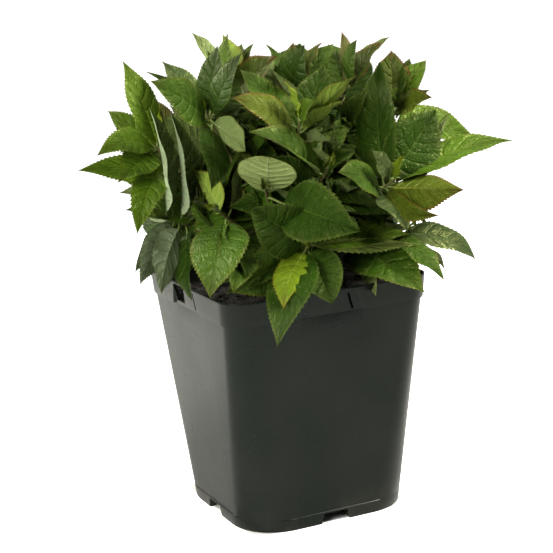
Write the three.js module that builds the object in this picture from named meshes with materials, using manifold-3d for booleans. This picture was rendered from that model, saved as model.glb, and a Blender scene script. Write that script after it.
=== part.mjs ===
// A young hydrangea shrub in its square nursery pot.
// Millimetres, +Z up. The origin is the middle of the pot's flat underside, and -Y is one face of the pot.
import * as THREE from "three";
import { mergeVertices } from "three/addons/utils/BufferGeometryUtils.js";
import Module from "manifold-3d";

const wasm = await Module();
wasm.setup();

// ---- driving dimensions -------------------------------------------------------------------------

const seatGap = 0.3; // between any two pieces that touch
const weldDistance = 1e-4; // corners nearer than this are one
const overrun = 1; // how far a cutting block runs past what it cuts

// The pot: a tapering square tub with soft corners, a collar round its rim and a low foot band.
const pot = {
  height: 207,
  wall: 1.8,
  floor: 3.2,
  bodyHalf: { bottom: 77.9, top: 93.1 }, // half widths of the plain body, drawn on to the rim
  bodyCorner: { bottom: 39.7, top: 16.5 },
  collarHeight: 21,
  collarStep: 1.9,
  collarCorner: 21,
  lipRound: 1.4,
  footHeight: 11,
  footStep: 0.8,
  footCornerGrowth: 2.7, // keeps the foot band level with the body at the corners
  cornerSteps: 5,
};

// On each side of the collar a flush panel lies between two slanted ends, with a slit beside one of them.
const panel = { halfTop: 20, halfBottom: 27, belowLip: 0.6 };
const slit = { top: [14, 202], bottom: [18, 188], width: 2.2 };
// The two sides across X also have a window for a plant label.
const labelWindow = { from: -24, to: -6, bottom: 189.5, top: 204 };

// Under the middle of each side is a drainage notch with a hole in its back wall.
const notch = { halfBottom: 14, halfTop: 11, height: 9.4, depth: 13, holeHalf: 7, holeBottom: 3.4, holeTop: 7.6 };
// Where a cut through the wall of the -Y side starts and ends.
const wallCut = { from: -110, to: -80 };

const soil = {
  top: 191,
  edgeDrop: 2.5,
  plateauHalf: 50,
  plateauCorner: 20,
  brim: 2, // level strip between the wall and the hump
  root: 6, // how far the hump is sunk into the fill
  seam: 0.01,
};

// Woody stems stand in a ring, and one stands in the middle.
const stems = {
  bearings: { front: -104, right: -44, back_right: 22, back: 80, back_left: 132, left: -166 },
  footRing: 17,
  forkRing: 33,
  forkHeight: 219,
  middleForkHeight: 252,
  middleLean: [3, 1],
  knee: 0.45, // share of the height over which a stem rises before it leans out
  footRadius: 6.2,
  neckRadius: 4.1,
  forkRadius: 3.3,
  knobRadius: 4.2, // the swollen end that the boughs leave
  knobRings: 4,
  neckHeight: 7,
  steps: 4,
  sides: 6,
};

const bough = {
  startRadius: 2,
  endRadius: 1.5,
  apart: 62, // turn between neighbouring boughs where they leave a stem, in degrees
  lift: 35,
  middleTurn: 6,
  middleReach: 72, // heads nearer to the middle than this grow from the middle stem
  startPull: 0.3,
  endPull: 0.35,
  steps: 3,
  sides: 6,
};

// Every head of leaves points away from the heart of the crown.
const heart = new THREE.Vector3(0, 0, 215);

// One head of foliage ends each shoot: [bearing, reach from the middle, height of its growing tip].
const heads = {
  front_centre: [-100, 88, 246],
  front_left: [-145, 98, 276],
  low_left: [175, 103, 266],
  left: [168, 106, 325],
  top_left: [-174, 67, 352],
  top_back_left: [120, 52, 370],
  top_middle: [-7, 16, 366],
  top_right: [-8, 69, 368],
  upper_right: [-20, 110, 346],
  centre_upper: [-97, 64, 344],
  centre_middle: [-87, 85, 306],
  centre_left: [-122, 92, 294],
  right: [-54, 110, 290],
  low_right: [-48, 112, 246],
  side_right: [6, 110, 298],
  low_back_right: [24, 106, 250],
  back_right: [42, 100, 322],
  top_back: [65, 64, 366],
  low_back: [68, 108, 252],
  back: [88, 110, 306],
  back_left: [124, 106, 318],
  low_back_left: [116, 108, 254],
  side_left: [150, 110, 282],
};

const headShape = {
  setBack: 12, // from the growing tip down to the middle of the head
  inward: 26, // how far the head reaches back towards the heart
  lobes: 8,
  body: 34,
  leafSpread: 0.35, // how sharply a leaf lobe rises from the body, in radians
  openLeaf: { tilt: 80, length: 66 },
  innerLeaf: { tilt: 44, length: 52 },
  lengthSpread: 0.1,
  lobeSeed: 50,
  pointSeeds: 200, // random numbers kept for each head
  unevenness: 0.07,
  columns: 16,
  rows: 8,
};

// Leaves that reach out past their head, and make the outline: [head, bearing, lift, length].
const longLeaves = [
  ["left", 88, 44, 92],
  ["left", 100, 18, 76],
  ["left", -145, 4, 72],
  ["left", 132, -14, 80],
  ["low_left", -135, -8, 62],
  ["low_left", -133, -36, 80],
  ["low_left", 86, -62, 76],
  ["top_left", 102, 33, 74],
  ["top_left", -152, 27, 74],
  ["top_back_left", 96, 36, 72],
  ["top_back_left", 66, 40, 60],
  ["top_middle", -127, 30, 62],
  ["top_middle", 55, 32, 60],
  ["top_right", 70, 42, 56],
  ["top_right", -108, 40, 54],
  ["top_right", 23, 30, 66],
  ["upper_right", 55, 30, 60],
  ["upper_right", 38, 30, 60],
  ["upper_right", -95, 8, 55],
  ["right", 1, 10, 122],
  ["right", -79, 0, 82],
  ["right", 29, 32, 80],
  ["low_right", 9, -24, 88],
  ["low_right", -90, -24, 72],
  ["front_centre", -140, -41, 104],
  ["front_centre", -101, -29, 72],
  ["front_centre", 4, -2, 90],
  ["front_left", -124, -42, 88],
  ["side_right", -10, -6, 84],
  ["back", 84, 4, 82],
  ["back_left", 130, 12, 80],
  ["low_back", 66, -28, 84],
  ["low_back_left", 124, -30, 82],
  ["low_back_right", 20, -30, 80],
  ["side_left", 152, -12, 70],
];

const colours = {
  pot: 0x2b2f2c,
  soil: 0x2a1f17,
  stem: 0x6b5434,
  bough: 0x5d6b2c,
  leaf: [0x2f4a1c, 0x3d5f22, 0x4f7a24, 0x35562a],
};

// ---- helpers ------------------------------------------------------------------------------------

const radians = THREE.MathUtils.degToRad;
const lerp = THREE.MathUtils.lerp;

// A direction from a bearing about +Z and a lift above the horizontal, both in degrees.
function direction(bearing, lift) {
  const flat = Math.cos(radians(lift));
  return new THREE.Vector3(
    flat * Math.cos(radians(bearing)),
    flat * Math.sin(radians(bearing)),
    Math.sin(radians(lift)),
  );
}

// The signed turn from one bearing to another, in degrees.
function turnBetween(from, to) {
  return THREE.MathUtils.euclideanModulo(to - from + 180, 360) - 180;
}

// A repeatable random number from 0 to 1 for each whole number.
function chance(seed) {
  const wave = Math.sin(seed * 12.9898 + 4.1) * 43758.5453;
  return wave - Math.floor(wave);
}

function meshOf(name, geometry, colour, roughness) {
  const material = new THREE.MeshStandardMaterial({ color: colour, roughness, metalness: 0 });
  geometry.computeVertexNormals();
  const mesh = new THREE.Mesh(geometry, material);
  mesh.name = name;
  return mesh;
}

function solidFrom(geometry) {
  const bare = geometry.clone();
  bare.deleteAttribute("normal");
  bare.deleteAttribute("uv");
  const merged = mergeVertices(bare, weldDistance);
  return new wasm.Manifold(
    new wasm.Mesh({
      numProp: 3,
      vertProperties: merged.attributes.position.array,
      triVerts: new Uint32Array(merged.index.array),
    }),
  );
}

function geometryFrom(solid) {
  const { numProp, numVert, vertProperties, triVerts } = solid.getMesh();
  const positions = new Float32Array(numVert * 3);
  for (let i = 0; i < numVert; i++) {
    positions.set(vertProperties.subarray(i * numProp, i * numProp + 3), i * 3);
  }
  return new THREE.BufferGeometry()
    .setAttribute("position", new THREE.BufferAttribute(positions, 3))
    .setIndex(new THREE.BufferAttribute(triVerts, 1));
}

// Joins rings of equal length, each given as a list of points, into one closed body.
function loft(rings) {
  const count = rings[0].length;
  const points = rings.flat();
  const faces = [];
  for (let ring = 0; ring + 1 < rings.length; ring++) {
    for (let i = 0; i < count; i++) {
      const a = ring * count + i;
      const b = ring * count + ((i + 1) % count);
      faces.push(a, b, b + count, a, b + count, a + count);
    }
  }
  const middleOf = (ring) => ring.reduce((sum, p) => sum.add(p), new THREE.Vector3()).divideScalar(count);
  const first = points.push(middleOf(rings[0])) - 1;
  const last = points.push(middleOf(rings[rings.length - 1])) - 1;
  const top = (rings.length - 1) * count;
  for (let i = 0; i < count; i++) {
    const next = (i + 1) % count;
    faces.push(first, next, i, last, top + i, top + next);
  }
  return new THREE.BufferGeometry().setFromPoints(points).setIndex(faces);
}

// A limb with a round section that changes along a curve. radiusAt takes 0 at its foot and 1 at its tip.
function limb(curve, radiusAt, steps, sides) {
  const frames = curve.computeFrenetFrames(steps, false);
  const rings = [];
  for (let step = 0; step <= steps; step++) {
    const centre = curve.getPointAt(step / steps);
    const radius = radiusAt(step / steps);
    const ring = [];
    for (let side = 0; side < sides; side++) {
      const angle = (side / sides) * 2 * Math.PI;
      ring.push(
        centre
          .clone()
          .addScaledVector(frames.normals[step], radius * Math.cos(angle))
          .addScaledVector(frames.binormals[step], radius * Math.sin(angle)),
      );
    }
    rings.push(ring);
  }
  return loft(rings);
}

// A level square with round corners, run anticlockwise.
function roundedSquare(half, corner, height) {
  const ring = [];
  for (let quarter = 0; quarter < 4; quarter++) {
    const turn = (quarter * Math.PI) / 2;
    for (let step = 0; step <= pot.cornerSteps; step++) {
      const angle = turn + ((step / pot.cornerSteps) * Math.PI) / 2;
      const middle = new THREE.Vector2(half - corner, half - corner).rotateAround(new THREE.Vector2(), turn);
      ring.push(
        new THREE.Vector3(middle.x + corner * Math.cos(angle), middle.y + corner * Math.sin(angle), height),
      );
    }
  }
  return ring;
}

// An outline of [across, height] points on the pot's -Y face, run through from one depth to another.
function sideBlock(outline, fromY, toY, quarter) {
  const shape = new THREE.Shape(outline.map(([across, height]) => new THREE.Vector2(across, height)));
  const geometry = new THREE.ExtrudeGeometry(shape, { depth: toY - fromY, bevelEnabled: false });
  geometry.rotateX(Math.PI / 2).translate(0, toY, 0);
  geometry.rotateZ((quarter * Math.PI) / 2);
  return solidFrom(geometry);
}

// ---- pot and soil -------------------------------------------------------------------------------

const collarBottom = pot.height - pot.collarHeight;
const bodyHalfAt = (height) => lerp(pot.bodyHalf.bottom, pot.bodyHalf.top, height / pot.height);
const bodyCornerAt = (height) => lerp(pot.bodyCorner.bottom, pot.bodyCorner.top, height / pot.height);
const bodyRing = (height, grow = 0) =>
  roundedSquare(bodyHalfAt(height) + grow, bodyCornerAt(height) + grow, height);
const collarRing = (height, grow = 0) =>
  roundedSquare(bodyHalfAt(height) + pot.collarStep + grow, pot.collarCorner + grow, height);
const footRing = (height, grow = 0) =>
  roundedSquare(
    bodyHalfAt(height) + pot.footStep + grow,
    bodyCornerAt(height) + pot.footCornerGrowth + grow,
    height,
  );

function potOutside() {
  const edge = 1.2; // small breaks of slope under the collar and over the foot band
  return solidFrom(
    loft([
      footRing(0, -edge),
      footRing(edge),
      footRing(pot.footHeight - edge),
      bodyRing(pot.footHeight),
      bodyRing(collarBottom),
      collarRing(collarBottom + edge),
      collarRing(pot.height - pot.lipRound),
      collarRing(pot.height, -pot.lipRound / 2),
    ]),
  );
}

// The space inside the walls, less a skin of the given thickness.
function potInside(skin, top) {
  const floor = pot.floor + skin;
  const collarStart = collarBottom - pot.wall;
  const rings = [
    bodyRing(floor, -pot.wall - skin - pot.floor),
    bodyRing(floor + pot.floor, -pot.wall - skin),
    bodyRing(Math.min(collarStart, top), -pot.wall - skin),
  ];
  if (top > collarStart + pot.wall) {
    rings.push(collarRing(collarStart + pot.wall, -pot.wall - skin), collarRing(top, -pot.wall - skin));
  }
  return solidFrom(loft(rings));
}

// The hump inside the pot over each drainage notch, grown by a skin.
function notchHump(quarter, skin) {
  const side = pot.wall + skin;
  const outline = [
    [-notch.halfBottom - side, overrun],
    [notch.halfBottom + side, overrun],
    [notch.halfTop + side, notch.height + side],
    [-notch.halfTop - side, notch.height + side],
  ];
  const outer = -bodyHalfAt(0) - pot.footStep;
  return sideBlock(outline, outer + pot.wall, outer + notch.depth + side, quarter);
}

// What the flush panel of the collar fills inside the pot: the wall runs straight there.
function panelBlock(quarter, skin) {
  const outline = [
    [-panel.halfBottom - skin, collarBottom - 2 * pot.wall],
    [panel.halfBottom + skin, collarBottom - 2 * pot.wall],
    [panel.halfTop + skin, pot.height + overrun],
    [-panel.halfTop - skin, pot.height + overrun],
  ];
  const wallInside = -bodyHalfAt(collarBottom) + pot.wall;
  return sideBlock(outline, -pot.bodyHalf.top - 3 * pot.wall, wallInside + skin, quarter);
}

function potSolid() {
  const panelTop = pot.height - pot.lipRound - panel.belowLip;
  const foot = -bodyHalfAt(0) - pot.footStep;
  let inside = potInside(0, pot.height + overrun);
  let body = potOutside();
  for (let quarter = 0; quarter < 4; quarter++) {
    inside = inside.subtract(notchHump(quarter, 0)).subtract(panelBlock(quarter, 0));
  }
  body = body.subtract(inside);
  for (let quarter = 0; quarter < 4; quarter++) {
    const outline = [
      [-panel.halfBottom, collarBottom - overrun],
      [panel.halfBottom, collarBottom - overrun],
      [panel.halfTop, panelTop],
      [-panel.halfTop, panelTop],
    ];
    body = body.subtract(sideBlock(outline, wallCut.from, -bodyHalfAt(collarBottom), quarter));

    const halfSlit = slit.width / 2;
    const slitOutline = [
      [slit.bottom[0] - halfSlit, slit.bottom[1]],
      [slit.bottom[0] + halfSlit, slit.bottom[1]],
      [slit.top[0] + halfSlit, slit.top[1]],
      [slit.top[0] - halfSlit, slit.top[1]],
    ];
    body = body.subtract(sideBlock(slitOutline, wallCut.from, wallCut.to, quarter));

    const notchOutline = [
      [-notch.halfBottom, -overrun],
      [notch.halfBottom, -overrun],
      [notch.halfTop, notch.height],
      [-notch.halfTop, notch.height],
    ];
    body = body.subtract(sideBlock(notchOutline, foot - overrun, foot + notch.depth, quarter));
    const holeOutline = [
      [-notch.holeHalf, notch.holeBottom],
      [notch.holeHalf, notch.holeBottom],
      [notch.holeHalf, notch.holeTop],
      [-notch.holeHalf, notch.holeTop],
    ];
    body = body.subtract(sideBlock(holeOutline, foot, foot + notch.depth + 3 * pot.wall, quarter));
  }
  for (const quarter of [1, 3]) {
    const outline = [
      [labelWindow.from, labelWindow.bottom],
      [labelWindow.to, labelWindow.bottom],
      [labelWindow.to, labelWindow.top],
      [labelWindow.from, labelWindow.top],
    ];
    body = body.subtract(sideBlock(outline, wallCut.from, wallCut.to, quarter));
  }
  return body;
}

function soilSolid() {
  const edge = soil.top - soil.edgeDrop;
  let fill = potInside(seatGap, edge);
  const inset = -pot.wall - seatGap - soil.brim;
  const hump = loft([
    bodyRing(edge - soil.root, inset),
    bodyRing(edge - soil.seam, inset),
    roundedSquare(soil.plateauHalf, soil.plateauCorner, soil.top),
  ]);
  fill = fill.add(solidFrom(hump));
  for (let quarter = 0; quarter < 4; quarter++) {
    fill = fill.subtract(notchHump(quarter, seatGap)).subtract(panelBlock(quarter, seatGap));
  }
  return fill;
}

// ---- stems and boughs ---------------------------------------------------------------------------

function stemPlaces() {
  const middleFork = new THREE.Vector3(...stems.middleLean, stems.middleForkHeight);
  const places = { middle: { foot: new THREE.Vector3(), fork: middleFork } };
  for (const [name, bearing] of Object.entries(stems.bearings)) {
    places[name] = {
      bearing,
      foot: direction(bearing, 0).multiplyScalar(stems.footRing),
      fork: direction(bearing, 0).multiplyScalar(stems.forkRing).setZ(stems.forkHeight),
    };
  }
  for (const place of Object.values(places)) {
    place.foot.setZ(soil.top + seatGap);
  }
  return places;
}

function stemGeometry({ foot, fork }) {
  const knee = foot.clone().setZ(lerp(foot.z, fork.z, stems.knee));
  const curve = new THREE.QuadraticBezierCurve3(foot, knee, fork);
  const length = curve.getLength();
  const radiusAt = (t) => {
    const flare = Math.max(0, 1 - (t * length) / stems.neckHeight);
    return lerp(stems.neckRadius, stems.forkRadius, t) + (stems.footRadius - stems.neckRadius) * flare * flare;
  };
  const shaft = limb(curve, radiusAt, stems.steps, stems.sides);
  const knob = new THREE.SphereGeometry(stems.knobRadius, stems.sides, stems.knobRings);
  knob.translate(...fork);
  return geometryFrom(solidFrom(shaft).add(solidFrom(knob)));
}

// A head on a short reach grows from the middle stem, any other from the stem nearest to its bearing.
function stemFor(places, [bearing, reach]) {
  if (reach < bough.middleReach) {
    return places.middle;
  }
  const ring = Object.values(places).filter((place) => place.bearing !== undefined);
  const apart = (place) => Math.abs(turnBetween(place.bearing, bearing));
  return ring.reduce((best, place) => (apart(place) < apart(best) ? place : best));
}

// The boughs of one stem leave its knob side by side, in the order in which their heads lie round it.
function boughRoots(places, frames) {
  const roots = new Map();
  for (const place of Object.values(places)) {
    const around = (head) => {
      const out = head.centre.clone().sub(place.fork);
      return turnBetween(place.bearing ?? 0, THREE.MathUtils.radToDeg(Math.atan2(out.y, out.x)));
    };
    const mine = frames.filter((head) => stemFor(places, heads[head.name]) === place);
    mine.sort((one, two) => around(one) - around(two));
    const apart = place.bearing === undefined ? 360 / mine.length : bough.apart;
    mine.forEach((head, i) => {
      const bearing = (place.bearing ?? bough.middleTurn) + (i - (mine.length - 1) / 2) * apart;
      roots.set(head, { fork: place.fork, leaving: direction(bearing, bough.lift) });
    });
  }
  return roots;
}

// A bough leaves the knob and bends upwards into the back of its head, where it ends. A skin makes it fatter.
function boughGeometry({ fork, leaving }, head, skin = 0) {
  const end = head.centre.clone().addScaledVector(head.axis, -headShape.inward - seatGap);
  const start = fork.clone().addScaledVector(leaving, stems.knobRadius + seatGap);
  const span = start.distanceTo(end);
  const curve = new THREE.CubicBezierCurve3(
    start,
    start.clone().addScaledVector(leaving, span * bough.startPull),
    end.clone().addScaledVector(head.axis, -span * bough.endPull),
    end,
  );
  const radiusAt = (t) => lerp(bough.startRadius, bough.endRadius, t) + skin;
  return limb(curve, radiusAt, bough.steps, bough.sides);
}

// ---- heads of foliage ---------------------------------------------------------------------------

function headFrames() {
  return Object.entries(heads).map(([name, [bearing, reach, height]], index) => {
    const tip = direction(bearing, 0).multiplyScalar(reach).setZ(height);
    const axis = tip.clone().sub(heart).normalize();
    const centre = tip.clone().addScaledVector(axis, -headShape.setBack);
    const turn = new THREE.Quaternion().setFromUnitVectors(new THREE.Vector3(0, 1, 0), axis);
    const spin = chance(index + 1) * Math.PI * 0.5;
    return { name, index, axis, centre, turn, spin };
  });
}

// Leaves stand in crossed pairs: four open ones round the head, and four inner ones between them.
function lobesOf(head) {
  const lobes = [];
  for (let leaf = 0; leaf < headShape.lobes; leaf++) {
    const kind = leaf % 2 === 0 ? headShape.openLeaf : headShape.innerLeaf;
    const around = (leaf / headShape.lobes) * 2 * Math.PI + head.spin;
    const tilt = radians(kind.tilt);
    const lobe = new THREE.Vector3(
      Math.sin(tilt) * Math.cos(around),
      Math.cos(tilt),
      Math.sin(tilt) * Math.sin(around),
    ).applyQuaternion(head.turn);
    const seed = head.index * headShape.lobes + leaf + headShape.lobeSeed;
    const length = kind.length * (1 + headShape.lengthSpread * (2 * chance(seed) - 1));
    lobes.push({ lobe, length });
  }
  for (const [name, bearing, lift, length] of longLeaves) {
    if (name === head.name) {
      lobes.push({ lobe: direction(bearing, lift), length, long: true });
    }
  }
  return lobes;
}

// How far a head may reach in a direction before it meets its neighbours, or goes too deep into the crown.
function roomIn(head, others, way) {
  let room = Infinity;
  const inwards = -way.dot(head.axis);
  if (inwards > 0) {
    room = headShape.inward / inwards;
  }
  for (const other of others) {
    if (other === head) {
      continue;
    }
    const across = other.centre.clone().sub(head.centre);
    const apart = across.length();
    const along = way.dot(across) / apart;
    if (along > 0) {
      room = Math.min(room, (apart - seatGap) / 2 / along);
    }
  }
  return room;
}

function headGeometry(head, others) {
  const ball = new THREE.SphereGeometry(1, headShape.columns, headShape.rows);
  ball.deleteAttribute("normal");
  ball.deleteAttribute("uv");
  const geometry = mergeVertices(ball, weldDistance);
  const position = geometry.attributes.position;
  const spin = new THREE.Quaternion().setFromAxisAngle(new THREE.Vector3(0, 1, 0), -head.spin);
  const ways = [];
  for (let i = 0; i < position.count; i++) {
    ways.push(new THREE.Vector3().fromBufferAttribute(position, i).applyQuaternion(spin).applyQuaternion(head.turn));
  }
  const lobes = lobesOf(head);
  // The point of the mesh nearest to each long leaf is drawn onto it, so that the leaf's tip is met.
  const taken = new Set();
  for (const { lobe } of lobes.filter((each) => each.long)) {
    const free = ways.keys().filter((i) => !taken.has(i));
    const nearest = [...free].reduce((best, i) => (ways[i].dot(lobe) > ways[best].dot(lobe) ? i : best));
    taken.add(nearest);
    ways[nearest].copy(lobe);
  }
  ways.forEach((way, i) => {
    const uneven = 1 + headShape.unevenness * (2 * chance(head.index * headShape.pointSeeds + i) - 1);
    let radius = headShape.body * uneven;
    for (const { lobe, length } of lobes) {
      const off = way.angleTo(lobe) / headShape.leafSpread;
      radius = Math.max(radius, headShape.body + (length - headShape.body) * Math.exp(-off * off));
    }
    radius = Math.min(radius, roomIn(head, others, way));
    position.setXYZ(i, ...head.centre.clone().addScaledVector(way, radius));
  });
  return geometry;
}

// The room that the rim of the pot takes, which low heads keep clear of.
function rimEnvelope() {
  const clear = 1;
  return solidFrom(
    loft([
      collarRing(0, clear - (bodyHalfAt(collarBottom) - bodyHalfAt(0))),
      collarRing(collarBottom - clear, clear),
      collarRing(pot.height + clear, clear),
    ]),
  );
}

// ---- assembly -----------------------------------------------------------------------------------

const shrub = new THREE.Group();
shrub.name = "hydrangea_shrub";
shrub.add(meshOf("pot", geometryFrom(potSolid()), colours.pot, 0.5));
shrub.add(meshOf("soil", geometryFrom(soilSolid()), colours.soil, 1));

const places = stemPlaces();
for (const [name, place] of Object.entries(places)) {
  shrub.add(meshOf(`stem_${name}`, stemGeometry(place), colours.stem, 0.85));
}

const frames = headFrames();
const roots = boughRoots(places, frames);
const rim = rimEnvelope();
for (const head of frames) {
  // A head is cut round the rim of the pot and round the boughs of its neighbours that pass it.
  const passing = frames
    .filter((other) => other !== head)
    .map((other) => solidFrom(boughGeometry(roots.get(other), other, seatGap)));
  const foliage = [rim, ...passing].reduce(
    (left, cutter) => (left.intersect(cutter).volume() > 0 ? left.subtract(cutter) : left),
    solidFrom(headGeometry(head, frames)),
  );
  const colour = colours.leaf[head.index % colours.leaf.length];
  shrub.add(meshOf(`foliage_${head.name}`, geometryFrom(foliage), colour, 0.6));
  shrub.add(meshOf(`bough_${head.name}`, boughGeometry(roots.get(head), head), colours.bough, 0.7));
}

export default shrub;
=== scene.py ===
import math
import random

import bpy
import numpy as np
from mathutils import Matrix, Vector, noise
from mathutils.bvhtree import BVHTree


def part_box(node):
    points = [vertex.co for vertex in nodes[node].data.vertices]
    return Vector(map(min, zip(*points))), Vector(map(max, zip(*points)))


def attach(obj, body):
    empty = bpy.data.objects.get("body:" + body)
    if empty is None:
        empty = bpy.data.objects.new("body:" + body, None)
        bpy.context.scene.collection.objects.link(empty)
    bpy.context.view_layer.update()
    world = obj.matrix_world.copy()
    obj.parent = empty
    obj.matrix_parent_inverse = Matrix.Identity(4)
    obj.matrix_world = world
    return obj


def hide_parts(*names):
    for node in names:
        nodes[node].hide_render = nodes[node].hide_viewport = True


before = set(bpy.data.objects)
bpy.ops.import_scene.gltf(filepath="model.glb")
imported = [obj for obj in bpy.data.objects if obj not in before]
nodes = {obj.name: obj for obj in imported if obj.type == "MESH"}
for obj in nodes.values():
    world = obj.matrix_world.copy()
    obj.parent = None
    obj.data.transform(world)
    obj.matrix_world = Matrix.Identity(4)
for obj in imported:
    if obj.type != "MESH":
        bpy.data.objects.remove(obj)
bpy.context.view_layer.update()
mm = 0.001
fullTurn = 6.28


def report(text):
    print("scene:", text, flush=True)


def bearingVector(bearing, lift):
    flat = math.cos(math.radians(lift))
    turn = math.radians(bearing)
    return Vector((flat * math.cos(turn), flat * math.sin(turn), math.sin(math.radians(lift))))


# camera, light and floor

cameraView = {
    "azimuth": -24.9,  # degrees round the pot: 0 looks along +Y
    "elevation": 16.2,
    "roll": -3.2,
    "distance": 1.358,
    "orbitHeight": 0.1118,
    "aimHeight": 0.2015,
    "aimAside": -0.0067,
    "fieldOfView": 20.5,
}


def makeCamera(view):
    turn, rise = math.radians(view["azimuth"]), math.radians(view["elevation"])
    back = Vector((math.sin(turn) * math.cos(rise), -math.cos(turn) * math.cos(rise), math.sin(rise)))
    aside = Vector((math.cos(turn), math.sin(turn), 0))
    place = Vector((0, 0, view["orbitHeight"])) + back * view["distance"]
    aim = Vector((0, 0, view["aimHeight"])) + aside * view["aimAside"]
    data = bpy.data.cameras.new("camera")
    data.angle = math.radians(view["fieldOfView"])
    camera = bpy.data.objects.new("camera", data)
    level = (aim - place).to_track_quat("-Z", "Y").to_matrix().to_4x4()
    camera.rotation_euler = (level @ Matrix.Rotation(math.radians(view["roll"]), 4, "Z")).to_euler()
    camera.location = place
    bpy.context.scene.collection.objects.link(camera)
    bpy.context.scene.camera = camera


def addNode(tree, kind, inputs=None, **settings):
    made = tree.nodes.new(kind)
    for name, value in settings.items():
        setattr(made, name, value)
    for name, value in (inputs or {}).items():
        if isinstance(value, bpy.types.NodeSocket):
            tree.links.new(value, made.inputs[name])
        else:
            made.inputs[name].default_value = value
    return made


def calculate(tree, operation, *values):
    return addNode(tree, "ShaderNodeMath", dict(enumerate(values)), operation=operation).outputs[0]


def ramp(tree, value, start, end, low=0.0, high=1.0):
    # a smooth step from low at start to high at end
    settings = {"Value": value, "From Min": start, "From Max": end, "To Min": low, "To Max": high}
    return addNode(tree, "ShaderNodeMapRange", settings, interpolation_type="SMOOTHSTEP").outputs[0]


def blendColour(tree, share, under, over):
    made = addNode(tree, "ShaderNodeMix", data_type="RGBA")
    for name, value in (("Factor_Float", share), ("A_Color", under), ("B_Color", over)):
        socket = next(s for s in made.inputs if s.identifier == name)
        if isinstance(value, bpy.types.NodeSocket):
            tree.links.new(value, socket)
        else:
            socket.default_value = value
    return next(s for s in made.outputs if s.identifier == "Result_Color")


def colour(red, green, blue):
    return (red, green, blue, 1.0)


def newMaterial(name):
    material = bpy.data.materials.new(name)
    material.use_nodes = True
    tree = material.node_tree
    tree.nodes.clear()
    surface = addNode(tree, "ShaderNodeBsdfPrincipled")
    output = addNode(tree, "ShaderNodeOutputMaterial")
    tree.links.new(surface.outputs[0], output.inputs["Surface"])
    return material, tree, surface


studio = {
    "backdrop": 1.25,  # how bright the white behind the plant is
    "skyLow": 0.07,
    "skyHigh": 0.34,
    "skyFade": (0.2, 1.0),  # how near to the bright side the sky is low, and high
    "brightSide": (0.0, 0.5, 0.86),  # the part of the sky that is brightest
    "keyPower": 36.0,
    "keySize": 0.6,
    "lampColour": (1.0, 0.985, 0.88),
    "keyPlace": (0.8, -0.45, 1.25),
    "backPower": 22.0,
    "backPlace": (-0.85, 0.85, 0.85),
    "sidePower": 21.5,
    "sidePlace": (-1.15, -0.7, 0.85),
    "lampAim": (0, 0, 0.2),
    "floorColour": colour(0.80, 0.80, 0.80),
    "floorFill": colour(0.38, 0.38, 0.38),  # the floor as the leaves are lit by it
    "floorGlow": 1.2,
    "glowFrom": (0.073, 0.079),  # metres from the middle, at the foot of the pot
    "floorReach": 12.0,
}


def addLamp(name, place, power, size):
    data = bpy.data.lights.new(name, "AREA")
    data.energy = power
    data.color = studio["lampColour"]
    data.size = size
    lamp = bpy.data.objects.new(name, data)
    lamp.location = place
    lamp.rotation_euler = (Vector(studio["lampAim"]) - Vector(place)).to_track_quat("-Z", "Y").to_euler()
    bpy.context.scene.collection.objects.link(lamp)


def makeSky(light):
    # white where it is seen; as a light on the plant it is brightest overhead and behind
    world = bpy.data.worlds.new("studio")
    world.use_nodes = True
    tree = world.node_tree
    tree.nodes.clear()
    way = addNode(tree, "ShaderNodeTexCoord").outputs["Generated"]
    side = addNode(tree, "ShaderNodeVectorMath", {0: way, 1: light["brightSide"]}, operation="DOT_PRODUCT")
    strength = ramp(tree, side.outputs["Value"], *light["skyFade"], light["skyLow"], light["skyHigh"])
    seen = addNode(tree, "ShaderNodeLightPath").outputs["Is Camera Ray"]
    strength = addNode(tree, "ShaderNodeMix", {"Factor": seen, "A": strength, "B": light["backdrop"]})
    sky = addNode(tree, "ShaderNodeBackground", {"Strength": strength.outputs["Result"]})
    sky.inputs["Color"].default_value = colour(1.0, 1.0, 1.0)
    addNode(tree, "ShaderNodeOutputWorld", {"Surface": sky.outputs[0]})
    bpy.context.scene.world = world


def makeFloor(light):
    reach = light["floorReach"]
    mesh = bpy.data.meshes.new("floor")
    corners = [(-reach, -reach, 0), (reach, -reach, 0), (reach, reach, 0), (-reach, reach, 0)]
    mesh.from_pydata(corners, [], [(0, 1, 2, 3)])
    material = bpy.data.materials.new("floorPaper")
    material.use_nodes = True
    tree = material.node_tree
    tree.nodes.clear()
    paper = addNode(tree, "ShaderNodeBsdfDiffuse")
    path = addNode(tree, "ShaderNodeLightPath").outputs
    tone = blendColour(tree, path["Is Diffuse Ray"], light["floorColour"], light["floorFill"])
    tree.links.new(tone, paper.inputs["Color"])
    seen = path["Is Camera Ray"]
    place = addNode(tree, "ShaderNodeNewGeometry").outputs["Position"]
    parts = addNode(tree, "ShaderNodeSeparateXYZ", {"Vector": place})
    aside, ahead = (calculate(tree, "ABSOLUTE", parts.outputs[axis]) for axis in ("X", "Y"))
    outside = ramp(tree, calculate(tree, "MAXIMUM", aside, ahead), *light["glowFrom"])
    glow = calculate(tree, "MULTIPLY", calculate(tree, "MULTIPLY", seen, light["floorGlow"]), outside)
    lit = addNode(tree, "ShaderNodeEmission", {"Strength": glow})
    both = addNode(tree, "ShaderNodeAddShader", {0: paper.outputs[0], 1: lit.outputs[0]})
    addNode(tree, "ShaderNodeOutputMaterial", {"Surface": both.outputs[0]})
    mesh.materials.append(material)
    floor = bpy.data.objects.new("floor", mesh)
    bpy.context.scene.collection.objects.link(floor)


def makeStudio(light):
    bpy.context.scene.view_settings.view_transform = "Standard"
    makeSky(light)
    makeFloor(light)
    addLamp("key", light["keyPlace"], light["keyPower"], light["keySize"])
    addLamp("backLight", light["backPlace"], light["backPower"], light["keySize"])
    addLamp("sideLight", light["sidePlace"], light["sidePower"], light["keySize"])


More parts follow.
